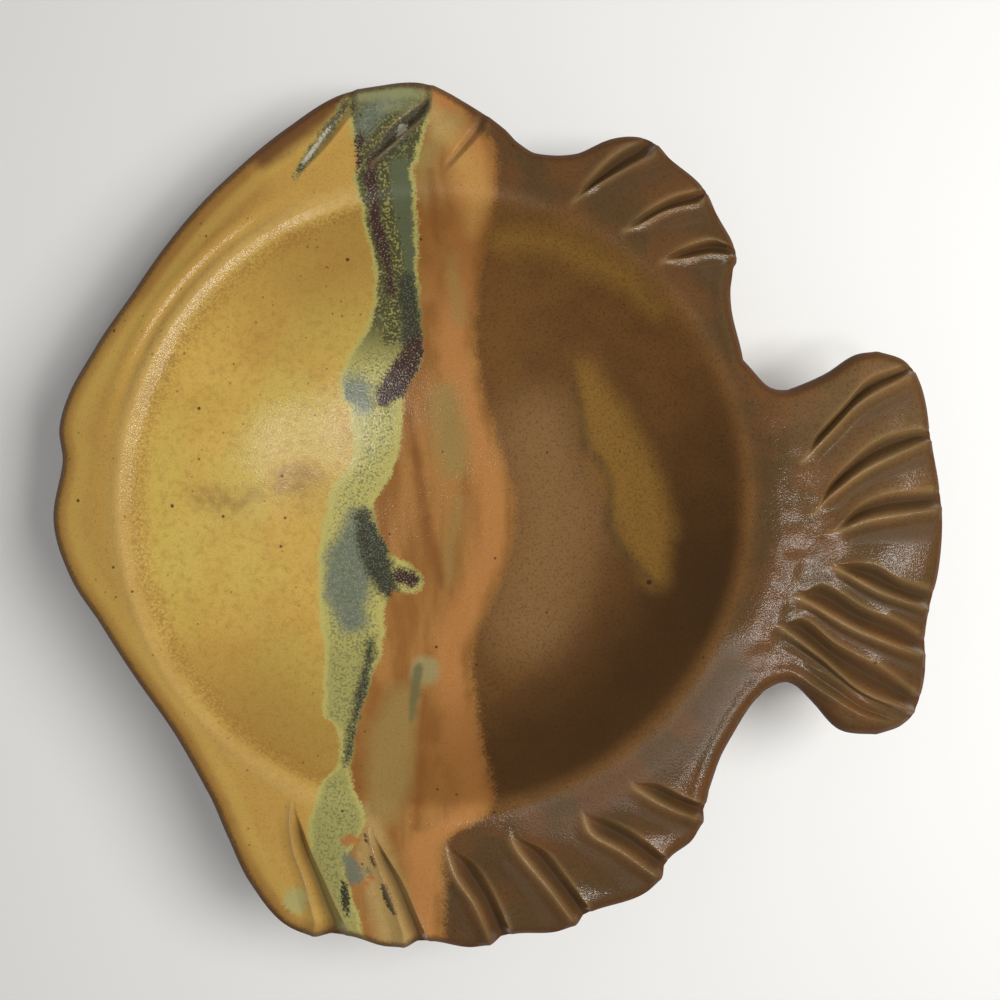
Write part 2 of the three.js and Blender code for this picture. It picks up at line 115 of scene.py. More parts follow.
TAIL_LOWER_SIDE = [
    (18.2, -30), (19.8, -28.6), (21.6, -27.6), (24, -26.9), (28, -26.8), (34.5, -27.7), (46, -29.2),
    (56.6, -27.7),
]
TAIL_UPPER_SIDE = [(5.4, 25), (8.9, 19.6), (14.2, 17.5), (20, 17.4), (29.4, 17.9), (39.2, 19), (46, 18.6)]
RIM_LIFT = [
    (-60, 0.01), (-40, 0), (-20, 0.03), (0, 0.06), (60, -0.02), (110, -0.06), (175, -0.15), (230, -0.1),
    (300, 0.01), (320, 0), (340, 0.03), (360, 0.06),
]

# Slabs round the lip: borders in degrees, and each fold's strength, crest and edge in mm about the axis
SLABS = {
    "tail_fin": (-30, 25, [
        (0.4, [(113, -54), (124.5, -61.5), (133.5, -67), (145, -70)],
         [(112, -48), (125, -56), (134, -62.5), (146, -68.5)]),
        (1.0, [(108, -39.5), (120, -48.5), (132.5, -59), (150, -66)],
         [(110.5, -38), (115.5, -36.8), (125.5, -44.5), (140, -52), (151, -60)]),
        (1.0, [(113.5, -30), (129, -39), (144.5, -45.5), (152, -48)],
         [(116, -28.3), (121.5, -25.8), (134, -33), (145.5, -37.5), (153, -42.5)]),
        (1.0, [(124.5, -20.5), (138, -28), (150.5, -32.5), (154, -34)],
         [(126, -19.5), (137, -19.5), (146, -24.5), (156.5, -27.5)]),
        (1.0, [(124, -10), (134, -6), (148, -3.5), (158, -2)],
         [(125, -8.8), (132.5, -1.5), (141, 2.5), (152.5, 3.5), (159, 4)]),
        (1.0, [(119, -3.5), (123, 1.5), (132.5, 9), (143, 14.5), (152, 18.5)],
         [(119.8, -1.8), (123.5, 5.5), (132.5, 15), (139.5, 20), (148, 22.5), (153.5, 23)]),
        (1.0, [(115, 13), (124.5, 23), (133, 31.5), (148.5, 40)],
         [(116, 15), (119.5, 21), (129, 31.5), (135.5, 38.5), (144.5, 42), (150.5, 43)]),
    ]),
    "rear_dorsal_fin": (25, 74, [
        (1.0, [(71, 76), (78, 76.5), (87, 78), (93.5, 77)],
         [(72.5, 78), (81.5, 82), (87.5, 83), (92.5, 80.5)]),
        (1.0, [(59, 85.5), (63.5, 87), (72, 91.5), (82.5, 94)],
         [(60, 87.5), (68.5, 93.5), (75.5, 97), (82.5, 98.5)]),
        (1.0, [(42.5, 94.5), (52.5, 101), (60.5, 105.5), (67.5, 109)],
         [(43.5, 96.5), (51.5, 106), (58, 111.5), (64, 114)]),
    ]),
    "front_dorsal_fin": (74, 124, [
        (0.5, [(3, 104), (9, 110.5), (15.5, 117.5)], [(1.5, 106), (6.5, 113.5), (12.5, 121)]),
        (0.7, [(-21, 106.5), (-11.5, 115), (-1.5, 123.5)], [(-22.5, 108), (-15, 119), (-4.5, 127)]),
        (0.5, [(-44.5, 102), (-35.5, 111.5), (-28, 121), (-24.5, 126)],
         [(-45.5, 104), (-38.5, 114), (-31.5, 123.5), (-28.5, 128)]),
    ]),
    "head_rim": (124, 232, []),
    "ventral_fin": (232, 330, [
        (1.0, [(-46.5, -96), (-46.5, -102), (-45.5, -110), (-42, -120), (-38.5, -134)],
         [(-45, -96), (-42.5, -104), (-40.5, -110), (-36.5, -119), (-28.5, -135.5)]),
        (1.0, [(-21.8, -104), (-18.5, -115), (-14.5, -125.5), (-10.5, -136.5)],
         [(-20.3, -104), (-11.5, -119.5), (-7, -129.5), (-2.5, -139)]),
        (1.0, [(2.8, -110), (6, -118.5), (11.5, -126.5), (16, -136.5)],
         [(4.5, -109.3), (11.5, -114), (17, -122), (23.5, -136)]),
        (1.0, [(23.4, -106.3), (25.5, -110), (34.5, -121), (43, -132.5)],
         [(25.4, -105.8), (34, -110), (39.5, -116.5), (48.5, -128.5)]),
        (1.0, [(46.2, -99.8), (48.5, -104.5), (58, -110), (70, -118.5)],
         [(47.8, -98.9), (54.5, -100.5), (62.5, -104.5), (74.5, -113.5)]),
        (1.0, [(61.8, -89.9), (67.5, -93.5), (75.5, -97.5), (82.5, -100)],
         [(63, -88.7), (69.5, -89), (77, -92.5), (85, -95.5)]),
    ]),
}

# Hand of the potter: ridges along the lip and a bead along the thin edge, each as its place, half-width and
# height, and the angles where they are
HEAD_RIDGES = [(101.4, 1.8, 0.33), (104.7, 1.5, -0.57), (108.3, 1.9, 0.57)]
HEAD_RIDGE_ANGLES = [(112, 0), (126, 1), (150, 1), (172, 0.1), (245, 0)]
LIP_RIDGE = (101.6, 1.5, 0.25)
LIP_RIDGE_ANGLES = (85, 115)
EDGE_BEAD = (3.0, 1.8, 0.4)
EDGE_BEAD_ANGLES = [(-60, 0), (-46, 1), (-28, 1), (-14, 0), (14, 0), (25, 1), (38, 1), (48, 0)]
# The tail rises in a shoulder beside the lip, drops behind it and droops at its end
TAIL_SHOULDER = 1.0
TAIL_SHOULDER_START = -2.0
TAIL_SHOULDER_OUT = 9.0
TAIL_DROP = 1.2
TAIL_DROP_LENGTH = 12.0
TAIL_FADE = 9.0
TAIL_DROOP = 0.0035
TAIL_DROOP_START = 38.0
# Waves over the whole top, as a share and two waves that are multiplied, and lumps on the tail; each wave
# is given as its change for each millimetre along x and y, and its phase
WAVINESS = 0.22
WAVES = [(1.0, (1 / 17, 0, 1.3), (0, 1 / 23, 0.4)), (0.6, (1 / 9, -1 / 13, 2), (0, 1 / 11, 0))]
LUMP_WAVES = [
    (0.62, 0.25, 0.3), (-0.27, 0.66, 1.1), (0.35, -0.51, 2.0), (0.15, 0.88, 0.5), (0.9, -0.3, 1.7),
]
TAIL_LUMPS = 0.1
TAIL_ANGLE = -2
LUMPY_ANGLES = (32, 24)
LUMPY_RADII = (106, 112)
ROOT_LUMPS = 0.13
ROOT_RADIUS = 115.0
ROOT_WIDTH = 5.0

# Fineness of the surfaces
COLUMN_WIDTH = 0.8
HEAD_COLUMN_WIDTH = 1.4
COLUMN_CROWDING = 0.6
FOLD_RADIUS = 135.0
FEWEST_COLUMNS = 6
RIM_STEPS = 17
TAIL_STEPS = 34
ROOT_CROWDING = 1.5
EDGE_STEPS = 8
FINEST_RING = 0.6
RING_GROWTH = 0.05
WIDEST_RING = 1.5
NARROWEST_COLUMN = 0.5
MIDDLE_RADIUS = 2.0
SLOPE_STEP = 0.01
OUTLINE_TRIES = 60
OUTLINE_PULL = 0.5
POINTS_AT_ONCE = 500
FOOT_SEGMENTS = 240
FOOT_CORNER_STEPS = 6
FOOT_SEAT_STEPS = 9
# A hidden or plain sheet keeps only every so many rows
COARSE_ROWS = 6
COARSE_RIM_ROWS = 3
UNDERSIDE_ROWS = 2
CLAY_WELL_ROWS = 2
CLAY_RIM_ROWS = 3

TOP = 1
UNDERSIDE = -1


def curve_through(points):
    """A smooth curve through points given as (position, value)."""
    position, value = np.array(points, float).T
    last = len(position) - 1
    before = np.maximum(np.arange(last + 1) - 1, 0)
    after = np.minimum(np.arange(last + 1) + 1, last)
    tangent = (value[after] - value[before]) / (position[after] - position[before])

    def curve(at):
        at = np.clip(at, position[0], position[-1])
        k = np.clip(np.searchsorted(position, at, side="right") - 1, 0, last - 1)
        width = position[k + 1] - position[k]
        rise = value[k + 1] - value[k]
        t = (at - position[k]) / width
        bend_in = tangent[k] * width - rise
        bend_out = rise - tangent[k + 1] * width
        return value[k] + rise * t + t * (1 - t) * (bend_in * (1 - t) + bend_out * t)

    return curve


rim_reach = curve_through(RIM_OUTLINE)
tail_reach = curve_through(TAIL_END)
tail_lower_side = curve_through(TAIL_LOWER_SIDE)
tail_upper_side = curve_through(TAIL_UPPER_SIDE)
rim_lift = curve_through(RIM_LIFT)
head_ridge_share = curve_through(HEAD_RIDGE_ANGLES)
edge_bead_share = curve_through(EDGE_BEAD_ANGLES)


def smoothstep(value, low, high):
    share = np.clip((value - low) / (high - low), 0, 1)
    return share * share * (3 - 2 * share)


def hump(distance, half_width):
    return np.exp(-(distance / half_width) ** 2)


def ridge(distance, place, half_width, height):
    return height * hump(distance - place, half_width)


def angle_between(first, second):
    """Degrees between two directions, whichever way round is shorter."""
    return np.abs(np.mod(first - second + 180, 360) - 180)


def mix(first, second, share):
    return first + (second - first) * share


def section_height(radius):
    """Height of the top of the clay on the bowl's section, without lift or flutes."""
    wall = WELL_DEPTH * ((radius / WELL_RADIUS) ** WELL_FULLNESS - 1)
    return RIM_HEIGHT - LIP_ROUNDING * np.logaddexp(0, -wall / LIP_ROUNDING)


def section_slant(radius):
    """How much thicker the clay is upright than square to its surface."""
    rise = section_height(radius + SLOPE_STEP) - section_height(np.maximum(radius - SLOPE_STEP, 0))
    return np.sqrt(1 + (rise / (2 * SLOPE_STEP)) ** 2)


def line_over_rim(places, low):
    """A line over the rim as a curve of its angle by the distance out from the lip, and where it starts."""
    x, y = np.array(places, float).T
    out = np.hypot(x, y) - LIP_RADIUS
    angle = np.degrees(np.arctan2(y, x))
    return curve_through(list(zip(out, np.where(angle < low - 1, angle + 360, angle)))), out[0]


def blend(first, second, share, leave, arrive):
    """From one height to the next, leaving and arriving level (0) or with a crease (up to 2)."""
    level = share ** 2 * (3 - 2 * share)
    leaning = leave * share * (1 - share) ** 2 - arrive * share ** 2 * (1 - share)
    return mix(first, second, level + leaning)


class Slab:
    """A slab of the rim, crossed from the lip to the outline by its borders and the lines of its folds."""

    def __init__(self, name, low, high, folds):
        self.name = name
        self.low, self.high = low, high
        self.is_tail = name == "tail_fin"
        self.folds = []
        for strength, crest, edge in folds:
            crest_line, start = line_over_rim(crest, low)
            self.folds.append((strength, crest_line, start, line_over_rim(edge, low)[0]))
        self.inner_heights, self.outer_heights, creases, self.notches = FOLD_SHAPES[name]
        self.crease = np.array([0, *creases * len(folds), 0])
        self.uncreased = np.zeros(len(self.crease))
        self.gap, self.share = self.columns()
        self.reach = self.outline_reach()
        self.root_reach = self.reach
        if self.is_tail:
            root = (self.angles(np.zeros((1, len(self.gap))))[0] - low) / (high - low)
            self.root_reach = mix(TAIL_LOWER_SIDE[0][0], TAIL_UPPER_SIDE[0][0], root)

    def knots(self, out):
        """Angles of the slab's lines where they are that far out from the lip, kept in order."""
        angles = [tail_lower_side(out) if self.is_tail else np.full_like(out, self.low)]
        for _, crest_line, _, edge_line in self.folds:
            crest, edge = crest_line(out), edge_line(out)
            width = np.degrees(VALLEY_WIDTH / (LIP_RADIUS + out))
            valley = np.maximum(mix(crest, angles[-1], VALLEY_PLACE), crest - width)
            angles += [valley, crest, mix(crest, edge, CHANNEL_PLACE), edge]
        angles.append(tail_upper_side(out) if self.is_tail else np.full_like(out, self.high))
        gap = np.degrees(LEAST_GAP / (LIP_RADIUS + out))
        for k in range(1, len(angles) - 1):
            angles[k] = np.maximum(angles[k], angles[k - 1] + gap)
        for k in range(len(angles) - 2, 0, -1):
            angles[k] = np.minimum(angles[k], angles[k + 1] - gap)
        return np.array(angles)

    def columns(self):
        """For each column the gap between lines that it is in and its share across, closer at the lines."""
        knots = self.knots(np.full((1, 1), (FOLD_RADIUS - LIP_RADIUS)))[:, 0, 0]
        width_limit = COLUMN_WIDTH if self.folds else HEAD_COLUMN_WIDTH
        crowding = COLUMN_CROWDING if self.folds else 0
        gaps, shares = [], []
        for k, width in enumerate(np.radians(np.diff(knots)) * FOLD_RADIUS):
            count = max(FEWEST_COLUMNS, round(width / width_limit))
            steps = np.arange(count) / count
            shares.append(steps - crowding * np.sin(2 * np.pi * steps) / (2 * np.pi))
            gaps.append(np.full(count, k))
        gaps.append([len(knots) - 2])
        shares.append([1.0])
        return np.concatenate(gaps), np.concatenate(shares)

    def at_columns(self, values):
        """Values at the lines on either side of each column."""
        rows, columns = np.ogrid[:values.shape[1], :len(self.gap)]
        return values[self.gap, rows, columns], values[self.gap + 1, rows, columns]

    def angles(self, out):
        low, high = self.at_columns(self.knots(out))
        return mix(low, high, self.share)

    def across(self, out, amounts, crease):
        """A value that is given at the four lines of a fold and runs smoothly between them."""
        values = [np.zeros_like(out)]
        for strength, crest_line, start, edge_line in self.folds:
            width = np.radians(edge_line(out) - crest_line(out)) * (LIP_RADIUS + out)
            begin = start - FOLD_LEAD
            fade = strength * smoothstep(out, begin, begin + FOLD_FADE)
            fade = fade * smoothstep(width, *FOLD_WIDTHS)
            values += [amount * fade for amount in amounts]
        values.append(np.zeros_like(out))
        first, second = self.at_columns(np.array(values))
        return blend(first, second, self.share, crease[self.gap], crease[self.gap + 1])

    def outline_reach(self):
        """How far each column reaches out from the lip, with the notches that the channels cut."""
        reach = tail_reach if self.is_tail else rim_reach
        out = np.full((1, len(self.gap)), FOLD_RADIUS - LIP_RADIUS)
        for _ in range(OUTLINE_TRIES):
            out = mix(out, reach(self.angles(out)), OUTLINE_PULL)
        return (out - self.across(out, self.notches, self.uncreased))[0]

    def line_share(self, out, which):
        """Closeness to the folds' crests or crisp edges."""
        knots = self.knots(out)
        angle = self.angles(out)
        hidden, shown = LINE_STARTS[which]
        share = np.zeros_like(out)
        for k, (strength, _, start, _) in enumerate(self.folds):
            apart = np.radians(angle - knots[1 + FOLD_LINES * k + which]) * (LIP_RADIUS + out)
            fade = strength * smoothstep(out, start + hidden, start + shown)
            share = np.maximum(share, hump(apart, LINE_WIDTH) * fade)
        return share

    def points(self, out):
        """Points at distances out from the lip, a row for each distance and a column for each line."""
        angle = np.radians(self.angles(out))
        radius = LIP_RADIUS + out
        inner = self.across(out, self.inner_heights, self.crease)
        outer = self.across(out, self.outer_heights, self.crease)
        crest = self.line_share(out, CREST)
        height = mix(inner, outer, smoothstep(out / self.reach, *OUTER_SHARE)) + CREST_BEAD * crest
        drop = self.shoulder_drop(out) if self.is_tail else np.zeros_like(out)
        valley = self.across(out, (1, 0, 0, 0), self.uncreased)
        channel = self.across(out, (0, 0, 1, 0), self.uncreased)
        lines = [valley, crest, channel, self.line_share(out, CRISP_EDGE)]
        return radius * np.cos(angle), radius * np.sin(angle), height, drop, *lines

    def shoulder_drop(self, out):
        """How far the tail lies below the plain rim: less than nothing on its shoulder, more beyond it."""
        angle = self.angles(out)
        inside = np.minimum(angle - self.low, self.high - angle)
        rise = TAIL_SHOULDER * smoothstep(out, TAIL_SHOULDER_START, TAIL_SHOULDER_OUT)
        fall = TAIL_DROP * smoothstep(out, TAIL_SHOULDER_OUT, TAIL_SHOULDER_OUT + TAIL_DROP_LENGTH)
        droop = TAIL_DROOP * np.maximum(out - TAIL_DROOP_START, 0) ** 2
        return (fall - rise) * smoothstep(inside, 0, TAIL_FADE) + droop


def rows_out(start, reach, count, crowding):
    """Distances out from the lip: steps from a start, then finer ones round the edge at the end."""
    edge = np.minimum(EDGE_ROUNDING, reach / 2)
    steps = np.linspace(0, 1, count + 1)[1:, None] ** crowding * (reach - edge)
    turn = np.linspace(0, np.pi / 2, EDGE_STEPS + 1)[1:, None]
    return start + np.vstack([steps, reach - edge * (1 - np.sin(turn))])


# Height, drop and closeness to four kinds of line in the well, which has no folds
WELL_VALUES = (0.0,) * 6


class Plan:
    """All points of the dish seen from above, with their place on the folds and their way out."""

    def __init__(self):
        self.parts = []
        self.count = 0
        self.slabs = [Slab(name, *sizes) for name, sizes in SLABS.items()]
        self.rim = {slab.name: self.rim_rows(slab) for slab in self.slabs}
        self.tail = {slab.name: self.tail_rows(slab) for slab in self.slabs if slab.is_tail}
        self.rim_count = self.count
        self.lip = np.concatenate([self.rim[slab.name][0][:-1] for slab in self.slabs])
        self.x, self.y = np.concatenate(self.parts, axis=1)[:2]
        self.join_borders()
        self.rings = self.ring_rows()
        self.x, self.y, self.height, self.drop, *self.lines = np.concatenate(self.parts, axis=1)
        self.radius = np.hypot(self.x, self.y)
        self.angle = np.degrees(np.arctan2(self.y, self.x))
        self.find_outline()

    def add(self, *values):
        """Keep points given as x, y, height, drop and closeness to four lines; return their numbers."""
        values = np.broadcast_arrays(*values)
        self.parts.append(np.array([value.ravel() for value in values]))
        numbers = self.count + np.arange(values[0].size).reshape(values[0].shape)
        self.count += values[0].size
        return numbers

    def rim_rows(self, slab):
        lip = np.zeros((1, len(slab.reach)))
        return self.add(*slab.points(np.vstack([lip, rows_out(0, slab.root_reach, RIM_STEPS, 1)])))

    def tail_rows(self, slab):
        length = slab.reach - slab.root_reach
        return self.add(*slab.points(rows_out(slab.root_reach, length, TAIL_STEPS, ROOT_CROWDING)))

    def join_borders(self):
        """Let each slab's last line be the next slab's first line."""
        for slab, following in zip(self.slabs, self.slabs[1:] + self.slabs[:1]):
            self.rim[slab.name] = self.rim[slab.name].copy()
            self.rim[slab.name][:, -1] = self.rim[following.name][:, 0]

    def ring_rows(self):
        """Rings from the lip to the middle, with half as many points where these come too close."""
        angles = np.arctan2(self.y[self.lip], self.x[self.lip])
        rings = [self.lip]
        radius = LIP_RADIUS
        while radius > MIDDLE_RADIUS:
            radius -= min(FINEST_RING + RING_GROWTH * (LIP_RADIUS - radius), WIDEST_RING)
            radius = max(radius, MIDDLE_RADIUS)
            if 2 * np.pi * radius / len(angles) < NARROWEST_COLUMN:
                angles = angles[::2]
            rings.append(self.add(radius * np.cos(angles), radius * np.sin(angles), *WELL_VALUES))
        rings.append(self.add(np.zeros(1), np.zeros(1), *WELL_VALUES))
        return rings

    def find_outline(self):
        """The outline once round, and for each point of the rim its distance to it and the way out."""
        rows = []
        for slab in self.slabs:
            if slab.is_tail:
                tail = self.tail[slab.name]
                rim = self.rim[slab.name]
                rows += [rim[-1, :1], tail[:, 0], tail[-1, 1:-1], tail[::-1, -1]]
            else:
                rows.append(self.rim[slab.name][-1, :-1])
        self.outline = np.concatenate(rows)
        corner = np.array([self.x[self.outline], self.y[self.outline]]).T
        side = np.roll(corner, -1, axis=0) - corner
        normal = np.array([side[:, 1], -side[:, 0]]).T / np.linalg.norm(side, axis=1)[:, None]
        corner_out = normal + np.roll(normal, 1, axis=0)
        corner_out /= np.linalg.norm(corner_out, axis=1)[:, None]
        self.edge = np.full(self.count, np.inf)
        self.out = np.zeros((self.count, 2))
        points = np.array([self.x, self.y]).T
        for chunk in np.array_split(np.arange(self.rim_count), self.rim_count // POINTS_AT_ONCE):
            offset = points[chunk, None, :] - corner[None]
            along = np.clip((offset * side).sum(2) / (side ** 2).sum(1), 0, 1)
            distance = np.linalg.norm(offset - along[..., None] * side, axis=2)
            nearest = distance.argmin(1)
            share = along[np.arange(len(chunk)), nearest][:, None]
            self.edge[chunk] = distance[np.arange(len(chunk)), nearest]
            self.out[chunk] = mix(corner_out[nearest], np.roll(corner_out, -1, axis=0)[nearest], share)

    def wave(self, at, along_x, along_y, phase):
        return np.sin(along_x * self.x[at] + along_y * self.y[at] + phase)

    def unevenness(self, at):
        """Slow waves over the whole top."""
        return WAVINESS * sum(
            share * self.wave(at, *first) * self.wave(at, *second) for share, first, second in WAVES)

    def ridges(self, at):
        """Ridges and lumps left by the potter's fingers along the lip, on the tail and along the edge."""
        radius, angle = self.radius[at], self.angle[at]
        head = head_ridge_share(np.mod(angle, 360))
        height = (1 - head) * smoothstep(np.abs(angle), *LIP_RIDGE_ANGLES) * ridge(radius, *LIP_RIDGE)
        for sizes in HEAD_RIDGES:
            height = height + head * ridge(radius, *sizes)
        tail = smoothstep(angle_between(angle, TAIL_ANGLE), *LUMPY_ANGLES)
        tail = tail * smoothstep(radius, *LUMPY_RADII)
        lumps = np.mean([self.wave(at, *wave) for wave in LUMP_WAVES], axis=0)
        height = height + tail * lumps * (TAIL_LUMPS + ridge(radius, ROOT_RADIUS, ROOT_WIDTH, ROOT_LUMPS))
        return height + edge_bead_share(angle) * ridge(self.edge[at], *EDGE_BEAD)

    def surface(self, at, side, skin):
        """Points on the top or the underside of the clay, or out from it by a skin."""
        radius = self.radius[at]
        cut = -self.height[at]
        slant = section_slant(radius)
        angle = np.where(self.angle[at] < RIM_LIFT[0][0], self.angle[at] + 360, self.angle[at])
        lift = rim_lift(angle) * np.maximum(0, radius - LIP_RADIUS) - self.drop[at]
        middle = section_height(radius) + lift - (CLAY_THICKNESS * slant + cut * (1 + CHANNEL_THROUGH)) / 2
        full = (CLAY_THICKNESS / 2 + skin) * slant - cut * (1 - CHANNEL_THROUGH) / 2
        inward = np.minimum(self.edge[at] / EDGE_ROUNDING, 1)
        depth = np.minimum(self.edge[at] + skin * inward, EDGE_ROUNDING + skin) / (EDGE_ROUNDING + skin)
        half = full * (1 - (1 - depth) ** EDGE_FULLNESS) ** (1 / EDGE_FULLNESS)
        if side == TOP:
            half = half + inward * self.unevenness(at)
        if side == TOP and skin == GLAZE_OUTER:
            half = half + inward * self.ridges(at)
        shift = (skin * (1 - inward))[:, None] * self.out[at]
        return np.column_stack([self.x[at] + shift[:, 0], self.y[at] + shift[:, 1], middle + side * half])


def join_rows(inner, outer, closed):
    """Faces between two rows of points; an inner one that closes may have a half or quarter as many."""
    if len(inner) == 1:
        return [[inner[0], outer[i], outer[(i + 1) % len(outer)]] for i in range(len(outer))]
    stride = 1
    while math.ceil(len(outer) / stride) > len(inner):
        stride *= 2
    faces = []
    for i in range(len(inner) if closed else len(inner) - 1):
        end = min((i + 1) * stride, len(outer)) if closed else i + 1
        edge = [outer[k % len(outer)] for k in range(i * stride, end + 1)]
        faces.append([inner[i], *edge, inner[(i + 1) % len(inner)]])
    return faces


def kept_rows(rows, every):
    """Every so many rows, and always the first and the last."""
    kept = list(rows[::every])
    if (len(rows) - 1) % every:
        kept.append(rows[-1])
    return kept


def stack_faces(rows, closed):
    faces = []
    for inner, outer in zip(rows, rows[1:]):
        faces += join_rows(list(inner), list(outer), closed)
    return faces


def well_faces(plan, inner_radius, every):
    """Faces from the lip to an inner radius, or to the middle."""
    rings = [ring for ring in plan.rings if plan.radius[ring[0]] >= inner_radius]
    return stack_faces(kept_rows(rings, every)[::-1], True)


def slab_faces(plan, slab, every):
    rim = kept_rows(plan.rim[slab.name], every)
    faces = stack_faces(rim, False)
    if slab.is_tail:
        faces += stack_faces([rim[-1], *kept_rows(plan.tail[slab.name], every)], False)
    return faces


def rim_faces(plan, every):
    return [face for slab in plan.slabs for face in slab_faces(plan, slab, every)]


def open_edges(faces):
    """The next point along the border of a sheet, for each point on it."""
    edges = {}
    for face in faces:
        for a, b in zip(face, face[1:] + face[:1]):
            if edges.pop((b, a), None) is None:
                edges[(a, b)] = b
    return {a: b for a, b in edges}


def path(following, start, end):
    points = [start]
    while points[-1] != end:
        points.append(following[points[-1]])
    return points


def shell(name, plan, upper, lower):
    """A closed piece between two sheets, given as faces, side and skin; returns it and its upper points."""
    places, faces, sheets = [], [], []
    count = 0
    for (sheet, side, skin), order in ((upper, 1), (lower, -1)):
        points = np.unique(np.concatenate([np.array(face) for face in sheet]))
        number = {point: count + i for i, point in enumerate(points.tolist())}
        faces += [[number[point] for point in face[::order]] for face in sheet]
        places.append(plan.surface(points, side, skin))
        sheets.append((points, number, open_edges(sheet)))
        count += len(points)
    (upper_points, to_upper, upper_next), (_, to_lower, lower_next) = sheets
    coarse = upper_next if len(upper_next) < len(lower_next) else lower_next
    for start, end in coarse.items():
        upper_path = [to_upper[point] for point in path(upper_next, start, end)]
        lower_path = [to_lower[point] for point in path(lower_next, start, end)]
        faces.append(upper_path[::-1] + lower_path)
    return new_piece(name, np.vstack(places), faces), upper_points


MM = 0.001
FOOT_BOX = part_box("foot_ring")
AXIS = (np.array(FOOT_BOX[0]) + np.array(FOOT_BOX[1])) / 2 * (1, 1, 0)
WELD_DISTANCE = 1e-6
SHARP_ANGLE = math.radians(50)


def add_object(name, data):
    """A mesh, a lamp or a camera as a new object in the scene."""
    item = bpy.data.objects.new(name, data)
    bpy.context.scene.collection.objects.link(item)
    return item


def new_mesh(name, places, faces):
    """A smooth mesh from places in metres."""
    mesh = bpy.data.meshes.new(name)
    mesh.from_pydata(places, [], faces)
    mesh.shade_smooth()
    return add_object(name, mesh)


def new_piece(name, places, faces):
    """A mesh from places in millimetres about the bowl's axis, smooth but for its sharp corners."""
    places = (np.asarray(places) * MM + AXIS).tolist()
    piece = new_mesh(name, places, [[int(i) for i in face] for face in faces])
    piece.data.set_sharp_from_angle(angle=SHARP_ANGLE)
    piece.data.update()
    return piece


def weld(piece):
    """Join points that lie in one place, where both sides of a slab meet in its thin edge."""
    sheet = bmesh.new()
    sheet.from_mesh(piece.data)
    bmesh.ops.remove_doubles(sheet, verts=sheet.verts, dist=WELD_DISTANCE)
    sheet.to_mesh(piece.data)
    sheet.free()


def add_value(piece, name, values):
    """A number for each point of a piece, for its material to read; points beyond the list get none."""
    padded = np.zeros(len(piece.data.vertices), np.float32)
    padded[:len(values)] = values
    piece.data.attributes.new(name, "FLOAT", "POINT").data.foreach_set("value", padded)


BAKE_MAP = "OFBake"
SPARE_CORNER = 0.1


def add_bake_map(piece, shown):
    """A map seen from above that gives the shown sheet the whole square, and the rest a spare corner."""
    mesh = piece.data
    places = np.zeros(len(mesh.vertices) * 3)
    mesh.vertices.foreach_get("co", places)
    plan = places.reshape(-1, 3)[:, :2]
    plan = (plan - plan.min(0)) / np.ptp(plan, axis=0).max()
    corners = np.zeros(len(mesh.loops), int)
    mesh.loops.foreach_get("vertex_index", corners)
    sizes = np.zeros(len(mesh.polygons), int)
    mesh.polygons.foreach_get("loop_total", sizes)
    starts = np.r_[0, np.cumsum(sizes)[:-1]]
    face_shown = np.logical_and.reduceat(shown[corners], starts)
    scale = np.where(np.repeat(face_shown, sizes), 1.0, SPARE_CORNER)[:, None]
    bake_map = mesh.uv_layers.new(name=BAKE_MAP)
    bake_map.data.foreach_set("uv", (plan[corners] * scale).ravel().astype(np.float32))


# Glaze pattern, in millimetres from the bowl's axis on the plane of the rim, seen from above

# The dark run: y, left edge, right edge
RUN_EDGES = [
    (131.5, -29.5, -1.5), (117.5, -27, -4), (106.5, -25.5, -7), (101.5, -26.5, -7), (89.5, -23.5, -6.5),
    (79.5, -21, -6), (65, -19.5, -5.5), (54, -23, -5), (44, -29, -5), (35, -30.5, -10.5), (29, -28, -11),
    (17, -26.5, -11.5), (10, -29, -14), (4.5, -33, -17), (-1, -34.5, -20.5), (-9, -36.5, -18),
    (-18.5, -37.5, -14.5), (-28.5, -37.5, -14.5), (-34, -37.5, -17), (-42, -36.5, -16.5),
    (-50, -35.5, -18.5), (-59.5, -36, -22), (-67.5, -36.5, -24.5), (-71, -31.5, -25.5), (-84, -32, -27.5),
    (-90, -37.5, -26.5), (-96, -39, -23.5), (-103, -40.5, -22.5), (-109, -40.5, -27),
    (-116.5, -39.5, -28.5), (-124.5, -35.5, -27), (-140, -29, -22),
]
# Arms of the run: x, y and half-width along each
RUN_ARMS = [
    [(-27, 128, 2), (-29, 125.5, 1.4), (-37.5, 114, 1.5), (-45.5, 103, 0.8)],
    [(-18, -21, 5.5), (-9, -24.5, 4.2)],
]
# Right edge of the orange band: y, x
BAND_EDGE = [
    (131.5, 7), (120, 12), (113, 18), (99.5, 18.5), (79.5, 15), (54, 12), (39, 14), (18.5, 19.5),
    (5.5, 23.5), (-6.5, 24.5), (-18.5, 22.5), (-30.5, 17.5), (-44.5, 11.5), (-53, 11), (-66, 13),
    (-80, 15), (-93, 18), (-101, 13.5), (-107, 3.5), (-116.5, 3), (-140, 2),
]
